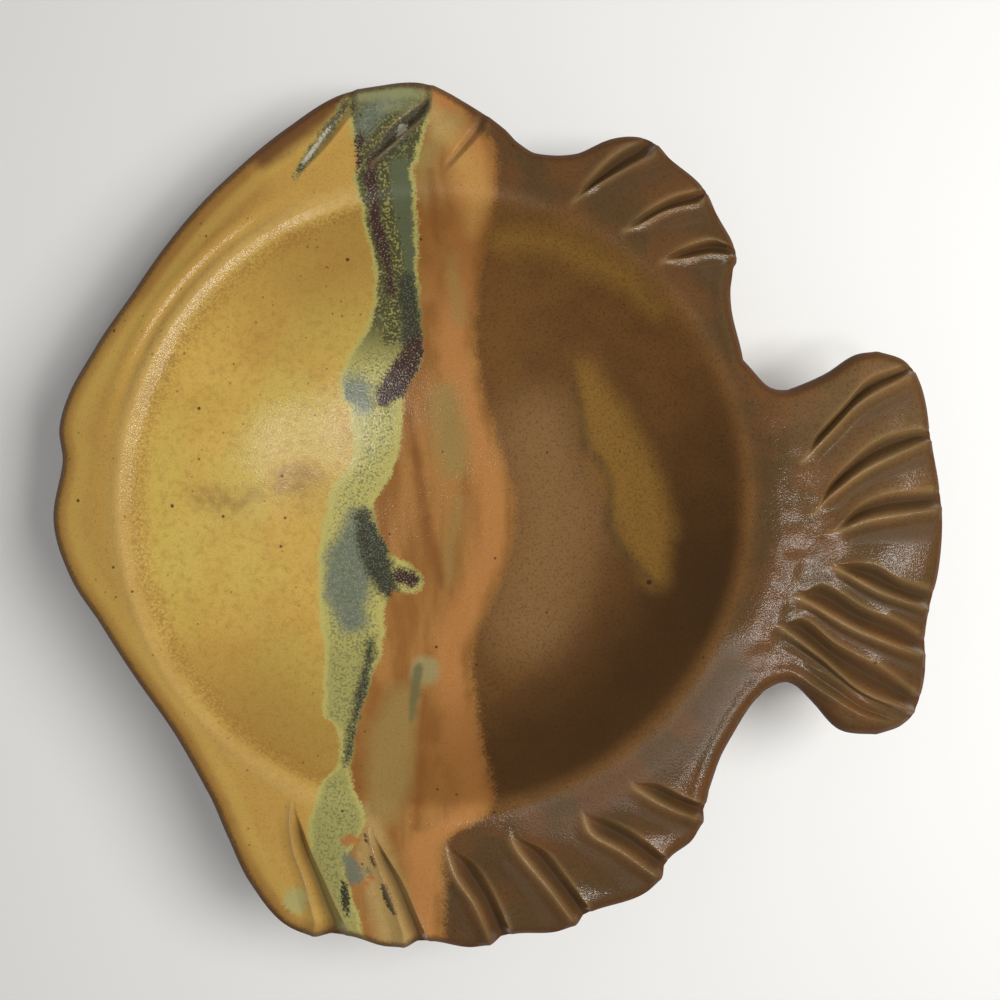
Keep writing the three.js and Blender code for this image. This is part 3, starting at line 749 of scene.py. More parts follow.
# Strokes of glaze: x, y and half-width along each
STROKES = {
    "blue_grey": [
        [(-25.5, 35, 5), (-23, 31, 3)],
        [(-25, -5.5, 3.4), (-27, -18.5, 8), (-29, -28, 7.2), (-27, -36.5, 4.8)],
        [(-24.5, 117, 2), (-20.5, 123, 3.6), (-14, 128, 3.4)],
    ],
    "grain": [
        [(-10, 70, 2.8), (-8, 57.5, 3.4), (-7.5, 48, 3.2)],
        [(-23.5, -5, 2.8), (-20.5, -13.5, 4.8), (-18, -21.5, 4.4), (-14.5, -28.5, 2.6)],
        [(-21, -45, 1.8), (-23.5, -59, 1.7), (-26.5, -71, 1.3), (-29, -83, 0.8)],
        [(-2.5, 126, 0.8), (-8, 121, 2), (-12.5, 116, 3), (-20.5, 107.5, 1.6)],
        [(-29, 125.5, 1), (-37.5, 114, 1.3), (-45.5, 103, 0.7)],
    ],
    "lace": [
        [(-17, 106, 1.4), (-16, 96, 1.6), (-14, 86, 1.6), (-12, 74, 1.8), (-12.5, 62, 2.4), (-14.5, 52, 3)],
        [(-6, 117, 1.2), (-14.5, 122, 1), (-19, 114, 1.4)],
    ],
    "pale_top": [[(-25, 129, 2.4), (-14, 130, 3), (-5, 129, 1.5)], [(-17, 125, 1), (-8, 124.5, 1)]],
    "maroon": [
        [(-24.5, 116, 1.2), (-25.5, 106.5, 1.8)],
        [(-20.5, 107.5, 1.8), (-21, 101.5, 1.8), (-19.5, 89.5, 1.6), (-16, 77, 1.6), (-14.5, 67, 1.2)],
        [(-6.5, 50, 2.4), (-9, 44.5, 4), (-13.5, 37, 4.4), (-17, 32.5, 2.8)],
        [(-12, -23, 2.4), (-8.5, -24, 3)],
    ],
    "white": [[(-10.5, 118.5, 1.3), (-12.5, 116, 0.8)], [(-34, 118.5, 0.5), (-42.5, 107, 0.6)]],
    "teal": [[(-11.5, 105, 4.2), (-10.5, 91, 4.2), (-9, 78, 3.2), (-8.5, 64, 1.8)]],
    "olive": [
        [(2.5, 32.5, 4.4), (4.5, 19.5, 5.6), (5.5, 11.5, 3.8)],
        [(-11, -63, 5), (-14, -74, 7.5), (-15, -88, 7.5), (-17, -97, 5)],
        [(4.5, 119.5, 3.6), (-4, 109.5, 3.6), (-2, 96, 2)], [(4.5, 77, 0.8), (6.5, 58, 1.2)],
        [(7, 0.5, 0.8), (4, -13.5, 1.4), (3, -24.5, 0.8)],
    ],
    "grey_green": [[(-3.8, -53.5, 4.6)], [(-23.5, -97.5, 1.6)]],
    "green_core": [[(-6, -52.5, 1.2), (-7, -61, 1.4), (-8, -70, 0.4)]],
    "beige": [
        [(-21, -103, 3.5), (-20, -112, 5.5), (-16, -124, 6.5), (-13, -137, 6.5)],
        [(-2, 125, 2), (1.5, 118, 3.5)],
    ],
    "tan_top": [[(5, 114, 2), (9.5, 107, 4.5), (12.5, 97, 4), (11, 86, 0.5)]],
    # rust along the upper-left rim; along the lower-left edge, painted shade where the rim droops away from
    # the light
    "rim_rust": [
        [(-94, 66, 2), (-78, 84, 4.5), (-60, 102, 5)],
        [(-63, -110, 0.6), (-56, -121, 2), (-50, -130, 1.4)],
        [(-98, -51, 0), (-79, -77, 2), (-66, -102, 1.5)],
    ],
    "satin": [
        [(36, -98, 7), (60, -86, 8), (78, -70, 8), (91, -52, 6)],
        [(-34, 97, 4), (0, 101, 5), (29, 97, 4)],
    ],
    # painted shade on the lower-left wall, in a rust colour
    "low_rust": [[(-74, -52, 3), (-58, -68, 6), (-44, -80, 4)]],
    "vein": [
        [(-9, 27.5, 1.2), (-6, 10, 1.6), (-3, -9, 1.6), (0, -20, 1.8), (1.5, -26.5, 1)],
        [(-3.8, -61, 0.6), (-4.5, -72, 1.4), (-5, -84, 1.2), (-6.5, -103, 1.2)],
        [(-2, 104.5, 1.2), (0, 83, 1.2)],
    ],
    "low_blue": [[(-28.5, -112, 1.6), (-26, -118.5, 3.2)], [(-22.5, -117, 1.2)]],
    "low_orange": [[(-29, -107.5, 1.6), (-24.5, -106, 1.4)], [(-24.5, -122.5, 1.5), (-21, -119, 1)]],
    "slit": [
        [(-29.5, -120, 0.9), (-29, -126, 1.4), (-28.5, -131, 0.6)],
        [(-17, -121.5, 0.9), (-15.5, -126, 1.3), (-13, -131.5, 0.4)],
        [(-21, -112.5, 0.7), (-20, -114.5, 0.8), (-21.5, -116, 0.4)],
        [(-23, -105.5, 0.6), (-22, -107.5, 0.5)],
    ],
    "yellow": [[(47, 41, 3.2), (53, 26, 7), (61.5, 7, 8.8), (66, -9, 8.8), (69, -23, 3.8)]],
    "yellow_line": [[
        (42, 43, 1), (45.5, 28, 1.2), (46.5, 17, 1.2), (51, 14, 1.2), (54.5, 7.5, 1.2), (54, -8, 1.2),
        (60, -17.5, 1.2), (69.5, -26.5, 0.6),
    ]],
    "yellow_arc": [[(20, 83, 2.6), (39, 81.5, 3.8), (58, 72, 3.8), (69, 60.5, 1.8)]],
    # the well's greyer middle, partly a painted sheen
    "grey_middle": [[(32.5, 23, 11), (39, -5.5, 14.2), (29.5, -37.5, 12.6)]],
    "head_patch": [[(-55.5, 108, 2.8), (-43.5, 120, 5), (-30.5, 128, 2.8)]],
    # a smudge on the well's floor, partly a painted reflection of the camera above
    "smudge": [
        [(-77, 2.5, 1.4), (-70, 0.5, 4.2), (-62, 0, 2.6), (-56, 4, 1)], [(-48, 6.5, 4.6), (-42.5, 8, 5)],
    ],
    "green_dot": [[(-44.5, -126, 4.2)]],
}
# The point above the dish from which the pattern was seen, about the bowl's axis
EYE = np.array([19.9, 0.6, 386.5])
SHORTEST_WAY = 1e-9
FARTHEST_EDGE = 50
LINE_NAMES = ("valley", "crest", "channel", "fold_edge")
# The well's wall, darker in painted shade away from the head, and darker at the lower right, partly a
# darker
# glaze and partly painted shade: each share goes from 0 to 1 between two radii, or two angles from a
# direction
WALL_FOOT = (55, 84)
WALL_TOP = (99, 94)
HEAD_ANGLE = 174
SHADE_ANGLES = (20, 60)
DARK_ANGLE = -74
DARK_ANGLES = (110, 55)


def seen_from_above(places):
    """Where places lie on the plane of the rim, seen from the eye."""
    return EYE[:2] + (places[:, :2] - EYE[:2]) * ((EYE[2] - RIM_HEIGHT) / (EYE[2] - places[:, 2]))[:, None]


def stroke_depth(strokes, spot):
    """How far spots lie inside the strokes; outside them it is the distance to them, below zero."""
    depth = np.full(len(spot), -np.inf)
    for stroke in strokes:
        for start, end in zip(stroke, stroke[1:] or stroke):
            start, end = np.array(start), np.array(end)
            way = end[:2] - start[:2]
            length = max(way @ way, SHORTEST_WAY)
            along = np.clip((spot - start[:2]) @ way / length, 0, 1)
            distance = np.linalg.norm(spot - start[:2] - along[:, None] * way, axis=1)
            depth = np.maximum(depth, mix(start[2], end[2], along) - distance)
    return depth


def add_pattern(piece, plan, points, places):
    """Write where each point of the top lies in the glaze pattern."""
    spot = seen_from_above(places)
    across, up = spot.T
    edges = np.array(RUN_EDGES)[::-1]
    run_left = curve_through(edges[:, [0, 1]])(up)
    run_right = curve_through(edges[:, [0, 2]])(up)
    stream = np.minimum(across - run_left, run_right - across)
    radius, angle = plan.radius[points], plan.angle[points]
    wall = smoothstep(radius, *WALL_FOOT) * smoothstep(radius, *WALL_TOP)
    values = {
        "run": np.maximum(stream, stroke_depth(RUN_ARMS, spot)),
        "past_run": across - (run_left + run_right) / 2,
        "past_band": across - curve_through(BAND_EDGE[::-1])(up),
        "edge": np.minimum(plan.edge[points], FARTHEST_EDGE),
        "radius": radius,
        "up": up,
        # painted shade on the wall away from the head
        "shaded_wall": wall * smoothstep(angle_between(angle, HEAD_ANGLE), *SHADE_ANGLES),
        # the lower-right wall darker, partly a darker glaze and partly painted shade
        "dark_shaded_wall": wall * smoothstep(angle_between(angle, DARK_ANGLE), *DARK_ANGLES),
    }
    values.update({name: stroke_depth(strokes, spot) for name, strokes in STROKES.items()})
    values.update({name: share[points] for name, share in zip(LINE_NAMES, plan.lines)})
    for name, value in values.items():
        add_value(piece, name, value)


def srgb(red, green, blue):
    """A colour written as the eye sees it, as the linear colour that a shader takes."""
    channels = np.array([red, green, blue]) / 255
    return (*np.where(channels < 0.04045, channels / 12.92, ((channels + 0.055) / 1.055) ** 2.4), 1.0)


# Sockets of a mix node that take and give colours
MIX_FIRST = 6
MIX_SECOND = 7
MIX_RESULT = 2
SPECK_BORDER = 0.03


class Nodes:
    """Short names for the nodes that a material or the world is made of."""

    def __init__(self, owner):
        owner.use_nodes = True
        self.tree = owner.node_tree

    def put(self, value, socket):
        if isinstance(value, bpy.types.NodeSocket):
            self.tree.links.new(value, socket)
        else:
            socket.default_value = value

    def node(self, kind, inputs, output, **settings):
        """An output of a new node, with the node's settings made and its inputs set or linked."""
        node = self.tree.nodes.new("ShaderNode" + kind)
        for name, setting in settings.items():
            setattr(node, name, setting)
        for name, value in inputs.items():
            self.put(value, node.inputs[name])
        return node.outputs[output]

    def math(self, operation, first, *others):
        """Values taken together by one operation, from the first to the last."""
        for other in others:
            first = self.node("Math", {0: first, 1: other}, "Value", operation=operation)
        return first

    def times(self, *values):
        return self.math("MULTIPLY", *values)

    def plus(self, *values):
        return self.math("ADD", *values)

    def ramp(self, value, low, high, start=0.0, end=1.0):
        """A smooth change from a start to an end while a value goes from low to high."""
        if low > high:
            low, high, start, end = high, low, end, start
        limits = {"From Min": low, "From Max": high, "To Min": start, "To Max": end}
        return self.node("MapRange", {"Value": value, **limits}, "Result", interpolation_type="SMOOTHSTEP")


class Paint(Nodes):
    """A material with short names for what its colour, gloss and bump are made of."""

    def __init__(self, name):
        self.material = bpy.data.materials.new(name)
        super().__init__(self.material)
        self.shader = self.tree.nodes["Principled BSDF"].inputs
        place = self.node("TexCoord", {}, "Object")
        self.place = self.node("VectorMath", {0: place, "Scale": 1 / MM}, "Vector", operation="SCALE")

    def value(self, name):
        return self.node("Attribute", {}, "Fac", attribute_name=name)

    def noise(self, size, detail=2.0, length=1.0):
        """Noise from 0 to 1 with features about that many millimetres across, and longer along the run."""
        scale = (1 / size, 1 / (size * length), 1 / size)
        place = self.node("VectorMath", {0: self.place, 1: scale}, "Vector", operation="MULTIPLY")
        return self.node("TexNoise", {"Vector": place, "Scale": 1.0, "Detail": detail}, "Fac")

    def stray(self, size, detail, reach):
        """Noise about zero that moves a border by up to about a reach in millimetres."""
        return self.times(self.plus(self.noise(size, detail), -0.5), 2 * reach)

    def specks(self, spacing, share, size):
        """Dots about so far apart in millimetres, where only a share of the places has one."""
        distance = self.node("TexVoronoi", {"Vector": self.place, "Scale": 1 / spacing}, "Distance")
        pick = self.node("SeparateColor", {"Color": distance.node.outputs["Color"]}, "Red")
        reach = self.times(self.ramp(pick, 1 - share, 1.0), size / spacing)
        return self.ramp(self.math("SUBTRACT", reach, distance), 0.0, SPECK_BORDER)

    def layers(self, colour, *coats):
        """A colour under coats, each given as its colour and the shares that make up its cover."""
        for coat, *shares in coats:
            inputs = {"Factor": self.times(*shares), MIX_FIRST: colour, MIX_SECOND: coat}
            colour = self.node("Mix", inputs, MIX_RESULT, data_type="RGBA")
        return colour

    def finish(self, colour, roughness, bump=None, depth=0.0):
        """The material with its colour, roughness and a bump that is so many millimetres deep."""
        self.put(colour, self.shader["Base Color"])
        self.put(roughness, self.shader["Roughness"])
        if bump is not None:
            normal = self.node("Bump", {"Distance": depth * MM, "Height": bump}, "Normal")
            self.put(normal, self.shader["Normal"])
        return self.material


OCHRE_LIGHT = srgb(203, 168, 84)
OCHRE_DEEP = srgb(187, 147, 69)
OCHRE_GREEN = srgb(197, 173, 85)
OCHRE_RUST = srgb(146, 102, 46)
# Ochre of a thin coat, also used as painted shade on the wall away from the head
OCHRE_THIN_AND_SHADE = srgb(157, 119, 53)
OCHRE_RIM = srgb(194, 151, 74)
# Colour of a smudge that is partly a painted reflection of the camera above
OCHRE_SMUDGE_AND_REFLECTION = srgb(140, 104, 56)
OCHRE_SPECK = srgb(104, 68, 22)
LIP_TAN = srgb(204, 166, 98)
HEAD_BROWN = srgb(116, 78, 40)
PALE_GREEN = srgb(184, 172, 108)
ORANGE = srgb(172, 122, 64)
ORANGE_BRIGHT = srgb(186, 128, 70)
ORANGE_BROWN = srgb(146, 98, 46)
ORANGE_DEEP = srgb(134, 86, 38)
OLIVE = srgb(156, 130, 74)
GREY_GREEN = srgb(158, 152, 104)
GREEN_CORE = srgb(104, 104, 68)
BEIGE = srgb(182, 150, 90)
TAN_TOP = srgb(190, 143, 76)
VEIN = srgb(134, 84, 38)
BROWN = srgb(108, 73, 33)
BROWN_WARM = srgb(118, 80, 37)
BROWN_DARK = srgb(62, 40, 15)
# Greyer brown of the well's middle, partly a painted sheen
BROWN_GREY_SHEEN = srgb(142, 105, 64)
BROWN_YELLOW = srgb(150, 111, 47)
OLIVE_LINE = srgb(84, 66, 38)
FIN_OLIVE = srgb(86, 64, 35)
FIN_RED = srgb(102, 68, 36)
FIN_DARK = srgb(62, 43, 23)
FIN_VALLEY = srgb(82, 60, 34)
FIN_TAN = srgb(156, 124, 80)
IRON = srgb(58, 38, 20)
EDGE_BROWN = srgb(86, 53, 24)
RUN_YELLOW = srgb(186, 177, 102)
RUN_SPECK = srgb(120, 121, 76)
RUN_DARK = srgb(78, 76, 48)
RUN_MOSS = srgb(130, 128, 80)
RUN_BLUE = srgb(110, 118, 100)
RUN_PALE = srgb(144, 146, 122)
RUN_TEAL = srgb(92, 98, 70)
RUN_GRAIN = srgb(58, 56, 40)
RUN_SLATE = srgb(104, 116, 96)
RUN_MAROON = srgb(66, 42, 36)
RUN_WHITE = srgb(188, 184, 164)
RUN_LACE = srgb(150, 146, 84)
RUN_TOP = srgb(150, 152, 106)
LOW_ORANGE = srgb(176, 112, 58)
CLAY_COLOUR = srgb(168, 134, 98)
CLAY_DEEP = srgb(140, 104, 70)
FLOOR_COLOUR = srgb(243, 243, 242)
FLOOR_LIGHT = srgb(246, 246, 245)

GLAZE_SHINE = 0.4
CLOUD_HEIGHT = 4.0
GLAZE_BUMP = 0.07
UNDERSIDE_BUMP = 0.03
CLAY_BUMP = 0.08
CLAY_ROUGHNESS = 0.85
CRISP_BORDER = 0.4


def glaze_top_material():
    """The poured glazes: numbers are millimetres in place and size, and shares in strength."""
    paint = Paint("poured_glaze")
    value, ramp, times, plus = paint.value, paint.ramp, paint.times, paint.plus
    noise, specks, layers = paint.noise, paint.specks, paint.layers
    fine = noise(0.55, 1.0)
    sand = noise(0.8, 2.0)
    grain = noise(1.2, 3.0)
    mottle = noise(2.4, 3.0)
    cloud = noise(16, 3.0)
    drift = noise(45, 2.0)
    streak = noise(7, 3.0, length=7.0)
    wobble = paint.stray(6, 3.0, 1.8)
    dither = paint.stray(0.7, 1.0, 2.2)
    radius, edge, up = value("radius"), value("edge"), value("up")
    shaded_wall = value("shaded_wall")

    def smooth(name, softness):
        """Share inside a stroke with a smooth border."""
        return ramp(plus(value(name), wobble), -softness, softness)

    def speckled(name, softness):
        """Share inside a stroke with a border that breaks up in specks."""
        return ramp(plus(value(name), wobble, dither), -softness, softness)

    def crisp(name):
        """Share inside a small stroke, with only a slight stray of its border."""
        return ramp(plus(value(name), times(dither, 0.5)), -CRISP_BORDER, CRISP_BORDER)

    def between(at, rise, fall):
        """Share that rises between two values and falls again between two others."""
        return times(ramp(at, *rise), ramp(at, *fall))

    stipple = ramp(sand, 0.46, 0.72)
    lip = between(radius, (97, 100.5), (106, 102))
    below_lip = between(radius, (91, 95.5), (98.5, 96.5))

    # Ochre: greener in places, rusty where the coat is thin, paler along the lip, darker in places as
    # painted shade, and with a smudge that is partly a painted reflection
    ochre = layers(
        OCHRE_LIGHT,
        (OCHRE_DEEP, ramp(cloud, 0.36, 0.66), 0.6),
        (OCHRE_GREEN, ramp(drift, 0.4, 0.6), ramp(radius, 99, 88), 0.85),
        # painted shade on the wall away from the head, where it turns from the lamps
        (OCHRE_THIN_AND_SHADE, shaded_wall, 0.65),
        (OCHRE_THIN_AND_SHADE, ramp(mottle, 0.46, 0.7), 0.3),
        # a smudge that is partly a painted reflection of the camera above
        (OCHRE_SMUDGE_AND_REFLECTION, smooth("smudge", 3.5), ramp(mottle, 0.15, 0.55), 0.55),
        (OCHRE_RIM, ramp(radius, 101, 106), 0.7),
        (OCHRE_RUST, ramp(sand, 0.36, 0.62), below_lip, 0.45),
        (LIP_TAN, lip, 0.5),
        # rust on the upper-left rim, painted shade along the lower-left edge
        (OCHRE_RUST, smooth("rim_rust", 6.0), 0.75),
        # painted shade on the lower-left wall, in a rust colour
        (OCHRE_RUST, smooth("low_rust", 14.0), 0.3),
        (OCHRE_RUST, stipple, 0.16),
        (OCHRE_LIGHT, between(edge, (4.0, 6.5), (11.0, 8.0)), 0.5),
        (OCHRE_RUST, ramp(edge, 6.0, 2.0), 0.55),
        (OCHRE_SPECK, specks(6.0, 0.7, 0.75), 0.65),
        (OCHRE_SPECK, specks(3.0, 0.5, 0.5), 0.5),
        (HEAD_BROWN, smooth("head_patch", 3.0)),
        (PALE_GREEN, speckled("green_dot", 1.0)),
    )

    # Orange band, streaked along the run, brightest beside its right border and browner on it
    past_band = plus(value("past_band"), wobble)
    orange = layers(
        ORANGE,
        (ORANGE_BROWN, ramp(streak, 0.34, 0.66)),
        (ORANGE_BRIGHT, between(past_band, (-15, -8), (-1, -5)), 0.9),
        # painted shade on the wall away from the head
        (ORANGE_DEEP, shaded_wall, 0.6),
        (ORANGE_DEEP, ramp(up, 98, 112), 0.15),
        (OLIVE, smooth("olive", 4.0), 0.9),
        (TAN_TOP, smooth("tan_top", 5.0)),
        (BEIGE, smooth("beige", 3.0)),
        (GREY_GREEN, smooth("grey_green", 2.0), 0.75),
        (VEIN, smooth("vein", 2.0), 0.9),
        (GREEN_CORE, smooth("green_core", 1.0), 0.85),
        (ORANGE_DEEP, stipple, 0.15),
    )

    # Brown, with a greyer middle that is partly a painted sheen, yellow patches and a dark line beside
    # them, darker on the lower-right wall, partly as painted shade, and dark in the fins' valleys, partly
    # painted shade
    fin = layers(FIN_OLIVE, (FIN_RED, ramp(cloud, 0.4, 0.6)))
    brown = layers(
        BROWN,
        (BROWN_WARM, ramp(cloud, 0.35, 0.65)),
        # the greyer middle, partly a painted sheen
        (BROWN_GREY_SHEEN, smooth("grey_middle", 11.0), 0.95),
        # the lower-right wall darker, partly a darker glaze and partly painted shade
        (BROWN_DARK, value("dark_shaded_wall"), 0.76),
        (BROWN_YELLOW, smooth("yellow_arc", 6.0), 0.75),
        (BROWN_YELLOW, smooth("yellow", 5.0), 0.9),
        (OLIVE_LINE, smooth("yellow_line", 1.8), 0.6),
        (FIN_TAN, lip, 0.08),
        (fin, ramp(radius, 97, 104), 0.95),
        (FIN_TAN, ramp(past_band, 85, 110), ramp(up, -30, 15), 0.2),
        # dark in the folds' valleys, partly pooled glaze and partly painted shade
        (FIN_VALLEY, value("valley"), 0.7),
        (BROWN_DARK, stipple, 0.4),
    )

    # The run: yellow-green with specks, dark where it starts, with teal, blue-grey and maroon pools
    run_depth = plus(value("run"), wobble, times(dither, 0.6))
    yellow = layers(RUN_YELLOW, (RUN_SPECK, ramp(sand, 0.48, 0.62), ramp(run_depth, 0.8, 3.8), 0.85))
    dark = layers(RUN_DARK, (RUN_MOSS, ramp(sand, 0.5, 0.64)))
    lace = layers(RUN_DARK, (RUN_LACE, ramp(sand, 0.5, 0.6)))
    blue = layers(RUN_BLUE, (RUN_PALE, ramp(fine, 0.52, 0.66)), (RUN_TEAL, ramp(grain, 0.48, 0.66), 0.6))
    black = layers(RUN_GRAIN, (RUN_SLATE, ramp(fine, 0.5, 0.68), 0.8))
    maroon = layers(RUN_MAROON, (RUN_PALE, ramp(fine, 0.58, 0.7)))
    run = layers(
        yellow,
        (dark, ramp(up, 38, 60)),
        (RUN_SPECK, ramp(up, -36, -50), 0.4),
        (RUN_TEAL, speckled("teal", 1.4)),
        (blue, speckled("blue_grey", 3.0)),
        (RUN_TOP, smooth("pale_top", 2.0), 0.85),
        (lace, speckled("lace", 1.2)),
        (RUN_YELLOW, ramp(run_depth, 1.8, 0.4), 0.85),
        (black, speckled("grain", 1.8)),
        (maroon, speckled("maroon", 1.0)),
        (RUN_WHITE, crisp("white")),
    )

    # All of them, with small pools below; the folds, pale on a crest and along a crisp edge, partly thin
    # glaze and partly a painted highlight, and dark in a channel, partly pooled glaze and partly painted
    # shade; the outer edge, where the glaze is thin; and freckles of iron all over
    colour = layers(
        ochre,
        (orange, ramp(value("past_run"), -1.0, 1.0)),
        (brown, ramp(plus(past_band, dither), -2.0, 2.0)),
        (run, ramp(run_depth, -0.8, 0.6)),
        (RUN_BLUE, speckled("low_blue", 0.8), 0.9),
        (LOW_ORANGE, smooth("low_orange", 0.8), 0.9),
        (RUN_GRAIN, crisp("slit")),
        # dark in the channels, partly pooled glaze and partly painted shade
        (FIN_DARK, value("channel"), 0.75),
        # pale on the crests and crisp edges, partly thin glaze and partly a painted highlight
        (FIN_TAN, value("crest"), ramp(edge, 3, 26, 0.3, 0.7)),
        (FIN_TAN, value("fold_edge"), 0.4),
        (EDGE_BROWN, ramp(plus(edge, times(dither, 0.3)), 3.0, 1.2), 0.85),
        (IRON, ramp(fine, 0.55, 0.75), 0.2),
        (IRON, specks(6.0, 0.4, 0.6), 0.7),
        (IRON, specks(17.0, 0.6, 1.1), 0.9),
    )
    roughness = plus(
        0.11,
        times(cloud, 0.1),
        times(ramp(value("channel"), 0.25, 0.8), 0.45),
        times(ramp(value("valley"), 0.7, 1.0), 0.35),
        times(ramp(edge, 2.2, 0.5), 0.5),
        times(smooth("satin", 10.0), 0.3),
    )
    paint.put(GLAZE_SHINE, paint.shader["Specular IOR Level"])
    return paint.finish(colour, roughness, plus(fine, times(cloud, CLOUD_HEIGHT)), GLAZE_BUMP)


def glaze_underside_material():
    paint = Paint("underside_glaze")
    cloud = paint.noise(14, 3.0)
    grain = paint.noise(1.2, 3.0)
    colour = paint.layers(
        BROWN, (BROWN_DARK, paint.ramp(cloud, 0.35, 0.65)), (IRON, paint.ramp(grain, 0.5, 0.7), 0.4))
    roughness = paint.plus(0.3, paint.times(cloud, 0.15))
    bump = paint.plus(grain, paint.times(cloud, CLOUD_HEIGHT))
    return paint.finish(colour, roughness, bump, UNDERSIDE_BUMP)


def clay_material():
    paint = Paint("bare_stoneware")
    grain = paint.noise(0.8, 4.0)
    cloud = paint.noise(12, 3.0)
    colour = paint.layers(
        CLAY_COLOUR,
        (CLAY_DEEP, paint.ramp(cloud, 0.35, 0.65)),
        (CLAY_DEEP, paint.ramp(grain, 0.5, 0.7), 0.4),
        (IRON, paint.specks(5.0, 0.6, 0.7)),
    )
    return paint.finish(colour, CLAY_ROUGHNESS, grain, CLAY_BUMP)


def finish_piece(piece, material, slot, *nodes):
    piece.data.materials.append(material)
    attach(piece, "root")
    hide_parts(*nodes)


def foot_profile():
    """Section of the foot ring: flat below with rounded corners, its top following the bowl."""
    inner = FOOT_RADIUS - FOOT_WIDTH
    turn = np.linspace(0, np.pi / 2, FOOT_CORNER_STEPS)
    falling = FOOT_CORNER * (1 - np.sin(turn))
    rising = FOOT_CORNER * (1 - np.cos(turn))
    seat_radius = np.linspace(FOOT_RADIUS - FOOT_FLARE, inner - FOOT_FLARE, FOOT_SEAT_STEPS)
    seat = section_height(seat_radius) - CLAY_THICKNESS * section_slant(seat_radius) - LUTE_GAP
    corners = [(FOOT_RADIUS - falling, rising), (seat_radius, seat), (inner + rising, falling)]
    return np.vstack([np.array(corner).T for corner in corners])


def turned(profile, segments, closed):
    """Places and faces of a profile turned about an upright axis, closed on itself or with open ends."""
    count = len(profile)
    places = []
    faces = []
    for i in range(segments):
        angle = 2 * np.pi * i / segments
        places += [(radius * np.cos(angle), radius * np.sin(angle), height) for radius, height in profile]
        here, there = i * count, (i + 1) % segments * count
        for k in range(count if closed else count - 1):
            following = (k + 1) % count
            faces.append([here + k, there + k, there + following, here + following])
    return places, faces


def build_dish():
    plan = Plan()
    clay = clay_material()

    upper = well_faces(plan, 0, 1) + rim_faces(plan, 1)
    lower = well_faces(plan, 0, COARSE_ROWS) + rim_faces(plan, COARSE_RIM_ROWS)
    coat, top_points = shell("glaze_top", plan, (upper, TOP, GLAZE_OUTER), (lower, TOP, GLAZE_GAP))
    add_pattern(coat, plan, top_points, plan.surface(top_points, TOP, GLAZE_OUTER))
    add_bake_map(coat, np.arange(len(coat.data.vertices)) < len(top_points))
    finish_piece(coat, glaze_top_material(), "ochre_glaze",
                 "glaze_ochre", "glaze_run", "glaze_overlap", "glaze_brown")

    start = FOOT_RADIUS + GLAZE_LINE
    upper = well_faces(plan, start, COARSE_ROWS) + rim_faces(plan, COARSE_ROWS)
    lower = well_faces(plan, start, UNDERSIDE_ROWS) + rim_faces(plan, UNDERSIDE_ROWS)
    sheets = (upper, UNDERSIDE, GLAZE_GAP), (lower, UNDERSIDE, GLAZE_OUTER)
    coat, inner_points = shell("glaze_under", plan, *sheets)
    add_bake_map(coat, np.arange(len(coat.data.vertices)) >= len(inner_points))
    finish_piece(coat, glaze_underside_material(), "underside_glaze", "glaze_underside")

    well = well_faces(plan, 0, CLAY_WELL_ROWS)
    bowl, top_points = shell("clay_bowl", plan, (well, TOP, 0), (well, UNDERSIDE, 0))
    add_bake_map(bowl, np.arange(len(bowl.data.vertices)) >= len(top_points))
    finish_piece(bowl, clay, "clay", "bowl_well")
    for slab in plan.slabs:
        faces = slab_faces(plan, slab, CLAY_RIM_ROWS)
        piece, _ = shell("clay_" + slab.name, plan, (faces, TOP, 0), (faces, UNDERSIDE, 0))
        weld(piece)
        finish_piece(piece, clay, "clay", slab.name)
    foot = new_piece("clay_foot", *turned(foot_profile(), FOOT_SEGMENTS, True))
    finish_piece(foot, clay, "clay", "foot_ring")


# Studio, in metres: a pale floor that curves up far away, a soft lamp to the right and a bright ceiling
FLOOR_MIDDLE = 0.001
FLOOR_RADIUS = 1.3
SWEEP_RADIUS = 0.3
SWEEP_STEPS = 10
BACKDROP_HEIGHT = 0.6
FLOOR_SEGMENTS = 96
FLOOR_CLOUDS = 300
FLOOR_ROUGHNESS = 0.9
FLOOR_SHINE = 0.1


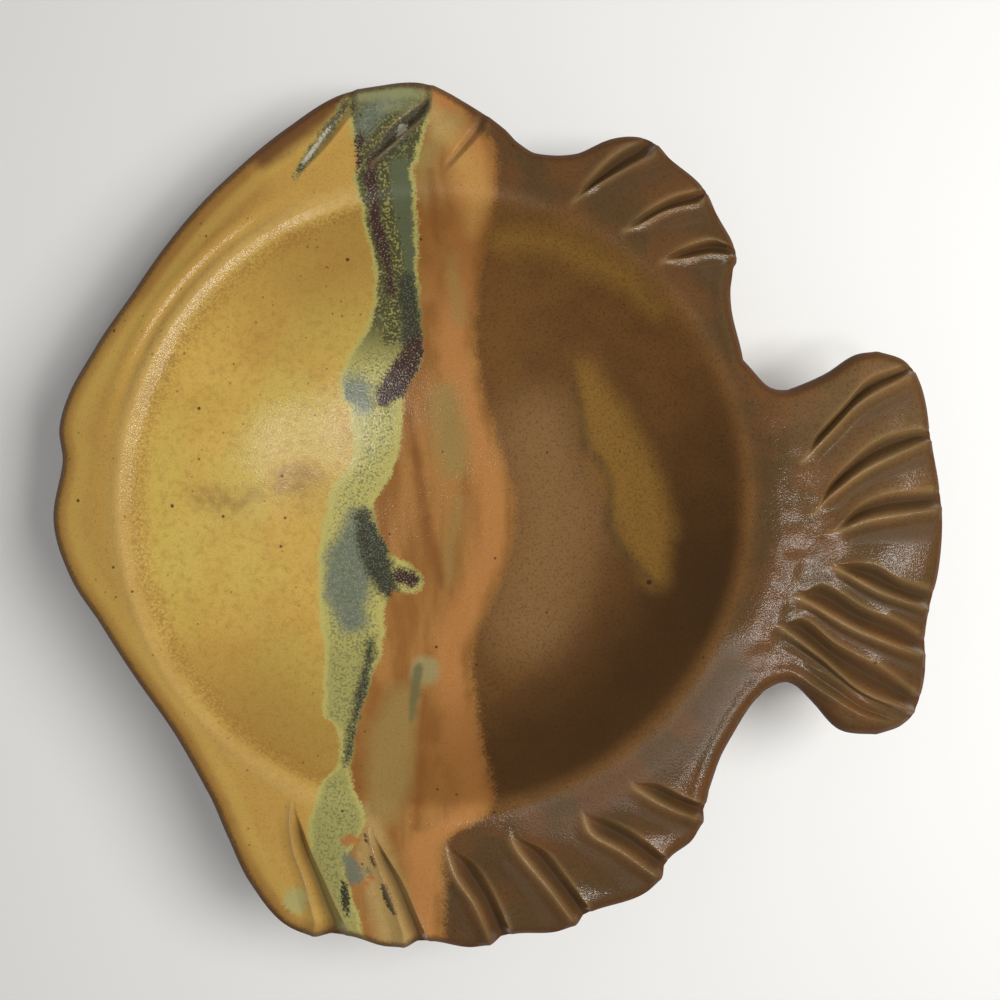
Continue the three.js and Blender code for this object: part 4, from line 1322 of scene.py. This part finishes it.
def build_stage():
    turn = np.linspace(0, np.pi / 2, SWEEP_STEPS)
    sweep = zip(FLOOR_RADIUS + SWEEP_RADIUS * np.sin(turn), SWEEP_RADIUS * (1 - np.cos(turn)))
    profile = [(FLOOR_MIDDLE, 0.0), *sweep, (FLOOR_RADIUS + SWEEP_RADIUS, BACKDROP_HEIGHT)]
    places, faces = turned(profile[::-1], FLOOR_SEGMENTS, False)
    faces.append([(i + 1) * len(profile) - 1 for i in range(FLOOR_SEGMENTS)])
    floor = new_mesh("floor", places, faces)
    paint = Paint("pale_floor")
    paint.put(FLOOR_SHINE, paint.shader["Specular IOR Level"])
    colour = paint.layers(FLOOR_COLOUR, (FLOOR_LIGHT, paint.noise(FLOOR_CLOUDS)))
    floor.data.materials.append(paint.finish(colour, FLOOR_ROUGHNESS))


# Lamps: the way to each from the dish, its distance and width in metres, and its power in watts
SOFTBOX = ((0.58, 0.08, 0.81), 0.85, 0.45, 5.05)
SPARK = ((0.42, -0.17, 0.89), 0.95, 0.125, 0.75)
SIDE_SPARK = ((0.151, -0.188, 0.97), 0.95, 0.13, 0.9)
LAMP_COLOUR = (1.0, 0.985, 0.96)
# The room glows more from its ceiling than from its walls; the heights are those of a look in its direction
GLOW_HEIGHTS = (0.35, 0.8)
WALL_GLOW = 0.14
CEILING_GLOW = 0.25
GLOW_COLOUR = (1.0, 0.995, 0.98, 1.0)


def add_lamp(name, way, distance, width, power):
    data = bpy.data.lights.new(name, "AREA")
    data.shape = "DISK"
    data.size = width
    data.energy = power
    data.color = LAMP_COLOUR
    lamp = add_object(name, data)
    lamp.location = np.array(way) / np.linalg.norm(way) * distance
    lamp.rotation_euler = lamp.location.to_track_quat("Z", "Y").to_euler()
    return lamp


def build_light():
    world = bpy.data.worlds.new("studio")
    bpy.context.scene.world = world
    room = Nodes(world)
    height = room.node("SeparateXYZ", {0: room.node("TexCoord", {}, "Generated")}, "Z")
    background = room.tree.nodes["Background"].inputs
    room.put(room.ramp(height, *GLOW_HEIGHTS, WALL_GLOW, CEILING_GLOW), background["Strength"])
    room.put(GLOW_COLOUR, background["Color"])
    add_lamp("softbox", *SOFTBOX).visible_glossy = False
    add_lamp("spark", *SPARK)
    add_lamp("side_spark", *SIDE_SPARK)


# Half the picture's width for each unit of distance
HALF_VIEW = 0.464


def build_camera():
    data = bpy.data.cameras.new("camera")
    data.sensor_fit = "HORIZONTAL"
    data.angle = 2 * math.atan(HALF_VIEW)
    camera = add_object("camera", data)
    camera.location = (EYE * MM + AXIS).tolist()
    bpy.context.scene.camera = camera


build_dish()
build_stage()
build_light()
build_camera()
bpy.context.scene.view_settings.view_transform = "Standard"
